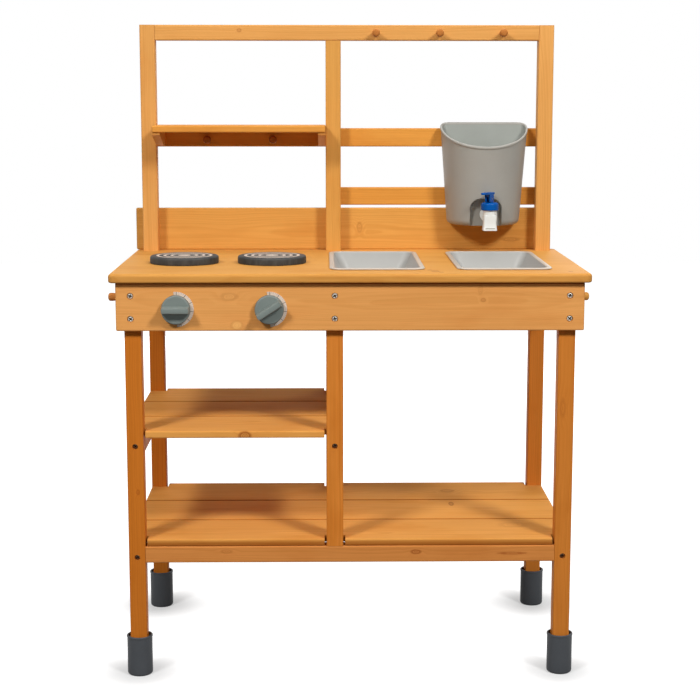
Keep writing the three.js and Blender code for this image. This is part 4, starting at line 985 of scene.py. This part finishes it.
def arch_distance(x, z, grow):
    """How far inside the arch a point of the front lies; negative outside it."""
    half, top, corner = ARCH_HALF + grow, ARCH_TOP + grow, ARCH_CORNER + grow
    dx, dz = abs(x - TANK_X) - (half - corner), z - (top - corner)
    if dx > 0 and dz > 0:
        return corner - math.hypot(dx, dz)
    return min(corner - dx, corner - dz)


def pushed_in(rings, grow):
    """Rings whose front is moved back to the arch's flat wall, with rounded edges."""
    plane = ARCH_BACK + grow
    for ring in rings:
        for p in ring:
            inside = arch_distance(p.x, p.z, grow)
            if p.y < plane and inside > -ARCH_EDGE:
                p.y = lerp(p.y, plane, smooth01((inside + ARCH_EDGE) / (2 * ARCH_EDGE)))
    return rings


def wall_rings(inset):
    """Rings up to a share of the height, dense beside the arch."""
    first, dense = TANK_FOOT / TANK_RISE, (ARCH_TOP + ARCH_MARGIN - TANK_BOTTOM) / TANK_RISE
    levels = [lerp(first, dense, i / DENSE_RINGS) for i in range(DENSE_RINGS)]
    levels += [lerp(dense, TANK_RINGS_SHARE, i / UPPER_RINGS) for i in range(UPPER_RINGS + 1)]
    return [tank_ring(share, inset) for share in levels]


def foot_rings(inset):
    """The rounded foot of the wall, from the floor up."""
    rings = []
    for angle in angles(0, QUARTER, FOOT_RINGS)[:-1]:
        z = inset + TANK_FOOT * (1 - math.cos(angle))
        rings.append(tank_ring(z / TANK_RISE, inset + TANK_FOOT * (1 - math.sin(angle))))
    return rings


def between(ring, rim):
    """Rings from one to the other, without either."""
    return [[a.lerp(b, i / RIM_RINGS) for a, b in zip(ring, rim)] for i in range(1, RIM_RINGS)]


def tank_shape():
    """The shell in one skin, from its outer floor over the rolled lip to its inner floor, and the hook."""
    lip = [tank_ring(0, inset, drop) for inset, drop in (
        (0, 4.6), (-0.5, 4.2), (-1.0, 3.6), (-1.05, 1.2), (-0.7, 0.35), (0.1, 0.0), (TANK_WALL - 0.9, 0.0),
        (TANK_WALL - 0.3, 0.3), (TANK_WALL, 1.0))]
    outside = pushed_in(foot_rings(0) + wall_rings(0), 0)
    outside += between(outside[-1], lip[0]) + lip
    mouth = tank_ring(0, TANK_WALL, 3.0)
    inside = pushed_in(foot_rings(TANK_WALL) + wall_rings(TANK_WALL), TANK_WALL)
    inside += between(inside[-1], mouth) + [mouth]
    shape = Shape().add(rings_to_skin(outside + inside[::-1]))
    seam = len(outside) * len(mouth)
    # faces from the mouth inward take the paler inside material, painted light
    shape.finish = [int(face >= seam) for face in range(len(shape.faces))]
    shape.finish[-2:] = [0, 1]
    plate, start, end = TANK_TOP - HOOK_WALL, TANK_BACK - HOOK_SUNK, HOOK_BACK + HOOK_WALL
    hook = [(start, TANK_TOP), (start, plate), (HOOK_BACK, plate), (HOOK_BACK, HOOK_END), (end, HOOK_END),
            (end, TANK_TOP)]
    shape.add(slab(hook, (TANK_X - HOOK_HALF, TANK_X + HOOK_HALF), 'x', 0.6, 2))
    start, end = TANK_BACK - RIB_SUNK, HOOK_BACK + RIB_SUNK
    rib = [(start, RIB_Z[0]), (end, RIB_Z[0]), (end, RIB_Z[1]), (start, RIB_Z[1])]
    for i in range(RIB_COUNT):
        x = TANK_X - HOOK_HALF + i * RIB_STEP
        shape.add(slab(rib, (x, x + RIB_WIDTH), 'x', 0.3, 2))
    return shape


piece('tank_shell', tank_shape(), [tank_grey, tank_lit_inside], 'tank', ('water_tank',),
      sharp=50)

# Tap: the body, its seal and nut

TAP = Vector((TANK_X + 4.8, 301.53, 0))
TAP_Z, TAP_BORE, TAP_BARREL = 692, 8.5, 11
FLANGE = (TAP.x, 327.23, TAP_Z)
FLANGE_SIDES, TAP_SIDES = 64, 72
# heights and half widths of the square spout, and of its outlet from the inside out
SPOUT_LEVELS = [(666.5, 11.5), (666.9, 11.6), (668.5, 11.5), (671, 11.2), (674.5, 10.8), (678.3, 10.6),
                (682, 10.7), (686, 10.95), (690, 11.1), (691.5, 11.0), (692, 10.4)]
OUTLET_LEVELS = [(675, 8.6, 2.0), (667.2, 9.5, 2.2), (666.6, 10.2, 2.4), (666.4, 10.7, 2.6)]
CHAMBER_Z, SPOUT_CORNER = (692, 677), 3.2


def square_ring(half, z, corner=SPOUT_CORNER):
    """A square with rounded corners round the tap's axis."""
    return lifted(round_rect((TAP.x - half, TAP.x + half), (TAP.y - half, TAP.y + half), corner), z)


def round_ring(radius, z):
    """A circle whose points lie in the same directions as a square ring's."""
    turn = [math.atan2(v - TAP.y, u - TAP.x) for u, v, _ in square_ring(radius, z)]
    return lifted(arc(TAP, radius, turn), z)


def spout():
    """The spout in one skin: up its outlet, down to its foot, up its outside and down its chamber."""
    outlet = [square_ring(half, z, corner) for z, half, corner in OUTLET_LEVELS]
    outside = [square_ring(half, z) for z, half in SPOUT_LEVELS]
    chamber = [round_ring(TAP_BORE, z) for z in CHAMBER_Z]
    return rings_to_skin(outlet + outside + chamber)


def tap_body():
    """The spout with its barrel, the shank through the tank's wall, its flange, and a thin grey sheet of
    painted shade where its slot is.
    """
    barrel = [(TAP_BORE, 690, 0), (TAP_BARREL, 690, 0), (TAP_BARREL, 707.4, 0.5), (10.4, 708, 0.5),
              (TAP_BORE, 708, 0)]
    flange = [(0, -4.0, 0), (7, -4.0, 0), (9, -3.0, 1.2), (13.9, -3.0, 0.5), (14.5, -2.4, 0.5),
              (14.5, -0.5, 0.4), (14.0, 0, 0.4), (7, 0, 0), (7, 20.0, 0), (4.2, 20.0, 0), (4.2, 2.0, 0),
              (0, 2.0, 0)]
    shank = [(0, -18.5, 0), (7, -18.5, 0), (7, -4, 0)]
    slot = round_rect((TAP.x - 7.8, TAP.x + 7.8), (669.3, 670.9), 0.7, 4)
    shape = Shape()
    shape.add(lathe(barrel, TAP, Z, TAP_SIDES, closed=True))
    shape.add(spout())
    shape.add(lathe(shank, FLANGE, BACKWARD, 48))
    shape.add(lathe(flange, FLANGE, BACKWARD, FLANGE_SIDES))
    # a thin sheet on the spout's face, coloured as the slot's shade
    shape.add(slab(slot, (TAP.y - 11.55, TAP.y - 11.0), 'y'), 1)
    return shape


piece('tap_spout_body', tap_body(), [tap_white, slot_painted_shade], 'tank', ('tap_body',), sharp=42)

gasket = [(7.3, 0.3, 0), (14.0, 0.3, 0.4), (14.6, 0.8, 0.4), (14.6, 1.8, 0.4), (14.0, 2.3, 0.4),
          (7.3, 2.3, 0)]
seal = lathe(gasket, FLANGE, BACKWARD, FLANGE_SIDES, closed=True)
piece('tap_seal', Shape().add(seal), [seal_black], 'tank', ('tap_gasket',))

NUT_RADIUS, NUT_Y = 13, (332.7, 338.6)
nut = slab(arc((TAP.x, TAP_Z), NUT_RADIUS, around(6)), NUT_Y, 'y', 0.7, 2)
piece('tap_back_nut', Shape().add(nut), [tap_white], 'tank', ('tap_nut',))

# Tap: the collar, and the stem with its spring and pin

collar = [(11.3, 700, 0), (13.9, 700, 0.4), (14.5, 700.7, 0.5), (14.5, 709.4, 1.6), (13.4, 711.9, 1.6),
          (10.6, 713, 1.2), (2.3, 713, 0), (2.3, 710, 0), (11.3, 710, 0)]
ring = lathe(collar, TAP, Z, TAP_SIDES, closed=True, steps=5)
piece('tap_ring', Shape().add(ring), [tap_blue], 'tank', ('tap_collar',))

LEVER_TURN = math.radians(-35)
PIN_Z, PIN_RADIUS, PIN_HALF, STEM_HALF = 719.1, 1.5, 5.2, 2


def facing_lever(part):
    """A part of the stem or the lever, turned to the side that the lever points to."""
    return turned_by(part, TAP, 'Z', LEVER_TURN)


stem = [(0, 677.3, 0), (6.5, 677.3, 0), (6.5, 680.3, 0), (STEM_HALF, 680.3, 0), (STEM_HALF, 715.3, 0),
        (0, 715.3, 0)]
tongue = slab(round_rect((TAP.x - STEM_HALF, TAP.x + STEM_HALF), (TAP.y - 2.6, TAP.y + 2.6), 0.4, 2),
              (713.3, 722.1), 'z', 0.3, 2)
plunger = Shape().add(lathe(stem, TAP, Z, 32)).add(facing_lever(tongue))
piece('tap_plunger', plunger, [tap_blue], 'stem', ('tap_stem',))


def coil(radius, wire, low, high, turns, steps=24, sides=10):
    """One unbroken wire wound round the tap's axis."""
    pitch = (high - low) / turns
    rings = []
    for k in range(turns * steps + 1):
        angle = math.tau * k / steps
        out = Vector((math.cos(angle), math.sin(angle), 0))
        along = Vector((-math.sin(angle) * radius, math.cos(angle) * radius, pitch / math.tau)).normalized()
        lift = along.cross(out)
        middle = TAP + out * radius + Z * (low + pitch * k / steps)
        rings.append([middle + (out * math.cos(a) + lift * math.sin(a)) * wire for a in around(sides)])
    return rings_to_skin(rings)


# the spring shortens between the valve disc, which rises, and the collar
STEM_RISE, SPRING_LOW, SPRING_HIGH = 2.5, 681.1, 709.2
SPRING_RADIUS, WIRE_RADIUS, SPRING_TURNS = 4.6, 0.5, 6
wound = coil(SPRING_RADIUS, WIRE_RADIUS, SPRING_LOW, SPRING_HIGH, SPRING_TURNS)
spring = piece('tap_return_spring', Shape().add(wound), [zinc], 'stem', ('tap_spring',))
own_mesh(spring)
pin = slab(arc((TAP.y, PIN_Z), PIN_RADIUS, around(24)), (TAP.x - PIN_HALF, TAP.x + PIN_HALF), 'x', 0.3, 2)
piece('tap_pivot', Shape().add(facing_lever(pin)), [zinc], 'stem', ('tap_lever_pin',))

# Tap: the lever, a paddle on two cheeks whose feet are rolling cams

CAM_LIFT, PIN_HEIGHT, TRAVEL = 4.1, 5.8, math.radians(35)
CHEEK_WIDTH, CHEEK_PLACES = 2.9, (2.3, -5.2)
PADDLE_HALF, PADDLE_NEAR, PADDLE_FAR, PADDLE_END, PADDLE_Z = 5, 7, 22, 4, (7, 10.5)


def lever_shape():
    """The cheeks' outline is seen from the side and the paddle's from above, both from the pin out."""
    cheek = [(2.9, 7.3), (-3.5, 7.3), (-5.25, 0.6), (-2.9, -PIN_HEIGHT), (CAM_LIFT, -PIN_HEIGHT)]
    for angle in angles(0, TRAVEL, 12)[1:]:
        reach = PIN_HEIGHT + CAM_LIFT * angle
        cheek.append((reach * math.sin(angle) + CAM_LIFT * math.cos(angle),
                      -reach * math.cos(angle) + CAM_LIFT * math.sin(angle)))
    cheek += [(8.5, 0), (8.5, 7.3)]
    cheek = [(TAP.y - out, PIN_Z + up) for out, up in cheek]
    shape = Shape()
    for low in CHEEK_PLACES:
        shape.add(facing_lever(slab(cheek, (TAP.x + low, TAP.x + low + CHEEK_WIDTH), 'x', 0.35, 2)))
    paddle = [(TAP.x - PADDLE_HALF, TAP.y + PADDLE_NEAR), (TAP.x - PADDLE_HALF, TAP.y - PADDLE_NEAR)]
    paddle += arc((TAP.x, TAP.y - PADDLE_FAR), PADDLE_END, angles(math.pi, math.tau, 12))
    paddle += [(TAP.x + PADDLE_HALF, TAP.y - PADDLE_NEAR), (TAP.x + PADDLE_HALF, TAP.y + PADDLE_NEAR)]
    return shape.add(facing_lever(slab(paddle, (PIN_Z + PADDLE_Z[0], PIN_Z + PADDLE_Z[1]), 'z', 0.9, 3)))


piece('tap_paddle', lever_shape(), [tap_blue], 'lever', ('tap_lever',))

# Bolts and screws

BOLT_SIDES, BOLT_STEPS, BOLT_RIM, RECESS_DEPTH = 40, 9, 0.5, 1.5
RECESS_HALF, RECESS_REACH_SHARE, RECESS_SIDE, RECESS_END = 0.95, 0.62, 0.4, 0.5
# the lowest height of a recess, and how deep a face must dip to take the painted shade
RECESS_FLOOR, DARK_FROM = 0.2, 0.4


def bolt_head(shape, seat, direction, size, roll, shank=0.0):
    """Adds a low domed head with a cross recess, whose deeper faces take a dark material as painted shade;
    its size is a radius and how far it rises.
    """
    radius, rise = size
    profile = [(radius, 0.0)]
    for angle in angles(0, QUARTER, BOLT_STEPS):
        profile.append((max(0.001, radius * math.cos(angle)), BOLT_RIM + shank + rise * math.sin(angle)))
    spin = Z.rotation_difference(Vector(direction)).to_matrix() @ Matrix.Rotation(roll, 3, 'Z')
    rings, deep = [], []
    for r, height in profile:
        ring = []
        for u, v in arc((0, 0), r, around(BOLT_SIDES)):
            near, far = sorted((abs(u), abs(v)))
            dip = smooth01((RECESS_HALF - near) / RECESS_SIDE)
            dip *= smooth01((RECESS_REACH_SHARE * radius - far) / RECESS_END)
            deep.append(dip > DARK_FROM)
            lowered = max(RECESS_FLOOR, height - RECESS_DEPTH * dip)
            ring.append(Vector(seat) + spin @ Vector((u, v, lowered)))
        rings.append(ring)
    verts, faces = rings_to_skin(rings)
    shape.add((verts, faces), [int(all(deep[i] for i in face)) for face in faces])


def bolt_roll(number):
    """How far a bolt's cross happens to be turned."""
    return spread(number, 0, 1.57)


# radius and rise of each head
APRON_BOLT, LEG_BOLT, BOARD_SCREW, PLANK_SCREW = (4.7, 1.7), (4.1, 1.4), (3.6, 0.35), (3.4, 0.3)
LEG_SHANK, CENTRE_X, POST_X = 4.6, -23.5, 333.25
APRON_BOLT_X, APRON_BOLT_Y, APRON_BOLT_Z = (-328, CENTRE_X, 328), (12.0, 397.0), (558.5, 593.0)
APRON_SIDE_X, APRON_SIDE_Z = 347.0, (567.0, 584.5)
RAIL_BOLT_Y, LOWER_RAIL_Z, MIDDLE_RAIL_Z = (31.0, 378.0), 188.25, 361.75
LEG_SIDE_X, LEG_SIDE_Z, LEG_BELOW_Z = 328.0, 197.25, 191.0
TOP_SIDE_X, TOP_SIDE_Z, TOP_Z = 335.0, 991.25, 993.0
BOARD_SCREW_Y, PLANK_SCREW_Y, LOWER_PLANK_Z, MIDDLE_PLANK_Z = 399.7, (80, 200, 320), 180.4, 349.4
FRONT_AND_BACK = (FORWARD, BACKWARD)

seats = []
for x in APRON_BOLT_X:
    for z in APRON_BOLT_Z:
        seats += [((x, y, z), direction) for y, direction in zip(APRON_BOLT_Y, FRONT_AND_BACK)]
for y in LEG_Y.values():
    for z in APRON_SIDE_Z:
        seats += [((sign * APRON_SIDE_X, y, z), (sign, 0, 0)) for sign in (-1, 1)]
shape = Shape()
for number, (seat, direction) in enumerate(seats, 1):
    bolt_head(shape, seat, direction, APRON_BOLT, bolt_roll(number))
piece('apron_bolts', shape, [zinc, recess_shade], 'kitchen_frame')

# through the legs from the front and the back, then from the sides, from below and at the top
leg_seats = []
left, right = LEG_X.values()
rail_ends = ((left, LOWER_RAIL_Z), (right, LOWER_RAIL_Z), (left, MIDDLE_RAIL_Z), (CENTRE_X, MIDDLE_RAIL_Z))
for number, (x, z) in enumerate(rail_ends, len(seats)):
    leg_seats += [((x, y, z), direction, bolt_roll(number + further))
                  for y, direction, further in zip(RAIL_BOLT_Y, FRONT_AND_BACK, (0, 3))]
for y in LEG_Y.values():
    leg_seats += [((sign * LEG_SIDE_X, y, LEG_SIDE_Z), (sign, 0, 0), 0.3) for sign in (-1, 1)]
    leg_seats.append(((CENTRE_X, y, LEG_BELOW_Z), DOWNWARD, 0.5))
leg_seats += [((sign * TOP_SIDE_X, LEG_Y['back'], TOP_SIDE_Z), (sign, 0, 0), 0.8) for sign in (-1, 1)]
leg_seats.append(((CENTRE_X, LEG_Y['back'], TOP_Z), UPWARD, 0.2))
shape = Shape()
for seat, direction, roll in leg_seats:
    bolt_head(shape, seat, direction, LEG_BOLT, roll, LEG_SHANK)
piece('leg_bolts', shape, [zinc_shaded, recess_shade], 'kitchen_frame')

# countersunk screws that hold the back boards to the posts, and the planks of both shelves to their rails
posts = (-POST_X, CENTRE_X, POST_X)
shape = Shape()
for z, places in ((645, posts), (682, posts), (718, posts[1:]), (817.5, posts)):
    for x in places:
        bolt_head(shape, (x, BOARD_SCREW_Y, z), BACKWARD, BOARD_SCREW, bolt_roll(x))
for z, places in ((LOWER_PLANK_Z, (left, right, CENTRE_X)), (MIDDLE_PLANK_Z, (left, CENTRE_X))):
    for x in places:
        for y in PLANK_SCREW_Y:
            bolt_head(shape, (x, y, z), DOWNWARD, PLANK_SCREW, bolt_roll(x + y))
piece('wood_screws', shape, [zinc, recess_shade], 'kitchen_frame')

# Floor, light and camera

WHITE = (1.0, 1.0, 1.0, 1.0)
FLOOR_REACH, FLOOR_SEEN, FLOOR_BOUNCE = 6.0, (0.42, 0.42, 0.42, 1.0), (0.2, 0.2, 0.2, 1.0)
# the middle of the feet, and how far each foot lies from it
FEET_MIDDLE, FEET_HALF = (0.0, 0.00975, 0.0), (0.32625, 0.17175, 0.0)
# two distances, from a foot or from the middle, and how strongly the floor glows at each
GLOW_BY_FEET, GLOW_FAR_OUT = (0.015, 0.11, 0.42, 0.97), (0.5, 1.2, 0.0, 0.1)


def studio_floor():
    """A pale floor that glows towards the camera, more so far out and less so close to the feet, which
    leaves a painted shade round them besides their shadows.
    """
    mesh = bpy.data.meshes.new("studio_floor")
    corners = [(u * FLOOR_REACH, v * FLOOR_REACH, 0) for u, v in ((-1, -1), (1, -1), (1, 1), (-1, 1))]
    mesh.from_pydata(corners, [], [(0, 1, 2, 3)])
    material, n = bare_material("floor_white")
    path = n.new("LightPath").outputs
    shader = n.new("BsdfPrincipled", {
        "Base Color": n.mix(path["Is Camera Ray"], FLOOR_BOUNCE, FLOOR_SEEN), "Roughness": 0.9,
        "Specular IOR Level": 0.0,
    })
    seen = n.max(path["Is Camera Ray"], path["Is Glossy Ray"])
    spot = n.vector('SUBTRACT', n.new("TexCoord").outputs["Object"], FEET_MIDDLE)
    nearest = n.length(n.vector('SUBTRACT', n.vector('ABSOLUTE', spot), FEET_HALF))
    level = n.add(n.step(nearest, *GLOW_BY_FEET), n.step(n.length(spot), *GLOW_FAR_OUT))
    glow = n.new("Emission", {"Color": WHITE, "Strength": n.mul(seen, level)})
    both = n.new("AddShader", {0: shader.outputs[0], 1: glow.outputs[0]})
    n.new("OutputMaterial", {"Surface": both.outputs[0]})
    mesh.materials.append(material)
    floor = shown("studio_floor", mesh)


def studio_world(strength):
    """White to the camera and in reflections, and a faint warm light for the rest."""
    world = bpy.data.worlds.new("studio")
    world.use_nodes = True
    n = Nodes(world.node_tree)
    world.node_tree.nodes.clear()
    path = n.new("LightPath").outputs
    seen = n.max(path["Is Camera Ray"], n.max(path["Is Glossy Ray"], path["Is Transmission Ray"]))
    level = n.add(n.mul(seen, 1.0 - strength), strength)
    sky = n.new("Background", {"Color": n.mix(seen, (1.0, 0.95, 0.87, 1.0), WHITE), "Strength": level})
    n.new("OutputWorld", {"Surface": sky.outputs[0]})
    bpy.context.scene.world = world


LIT_POINT = Vector((0, 0, 0.6))


def softbox(name, azimuth, elevation, distance, size, level):
    """An area lamp; level is the light it gives at the point it faces, where 1 lights white to white."""
    light = bpy.data.lights.new(name, 'AREA')
    light.shape = 'SQUARE'
    light.size = size
    light.energy = level * math.pi ** 2 * distance ** 2
    lamp = shown(name, light)
    a, e = math.radians(azimuth), math.radians(elevation)
    way = Vector((math.sin(a) * math.cos(e), -math.cos(a) * math.cos(e), math.sin(e)))
    lamp.location = LIT_POINT + way * distance
    lamp.rotation_euler = way.to_track_quat('Z', 'Y').to_euler()
    lamp.visible_camera = False
    return lamp


studio_floor()
studio_world(0.05)
softbox("key_right", 36, 36, 3.6, 0.62, 0.62)
softbox("key_left", -36, 36, 3.6, 0.62, 0.55)
softbox("front_fill", 0, 27, 3.0, 0.9, 0.02)
softbox("overhead", 0, 80, 2.4, 1.2, 0.3)
softbox("back_fill", 158, 36, 3.0, 1.4, 0.2)
softbox("rear_wall", 180, 1, 3.4, 1.4, 0.4).visible_glossy = False

EYE = (-0.03988, -2.59084, 0.88908)
# turns in radians; the focal length and the photograph's width in its pixels, the sensor in millimetres
YAW, PITCH, ROLL, FOCUS, PHOTO_WIDTH, SENSOR = 0.01624, 0.15569, 0.00052, 1626.24, 700, 36.0
forward = Vector((math.sin(YAW) * math.cos(PITCH), math.cos(YAW) * math.cos(PITCH), -math.sin(PITCH)))
right = Vector((math.cos(YAW), -math.sin(YAW), 0))
up = right.cross(forward)
right_rolled = right * math.cos(ROLL) + up * math.sin(ROLL)
up_rolled = up * math.cos(ROLL) - right * math.sin(ROLL)
camera_data = bpy.data.cameras.new("camera")
camera_data.sensor_width = SENSOR
camera_data.lens = FOCUS / PHOTO_WIDTH * SENSOR
camera = shown("camera", camera_data)
rotation = Matrix((right_rolled, up_rolled, -forward)).transposed()
camera.matrix_world = Matrix.Translation(EYE) @ rotation.to_4x4()
bpy.context.scene.camera = camera
bpy.context.scene.view_settings.view_transform = 'Standard'
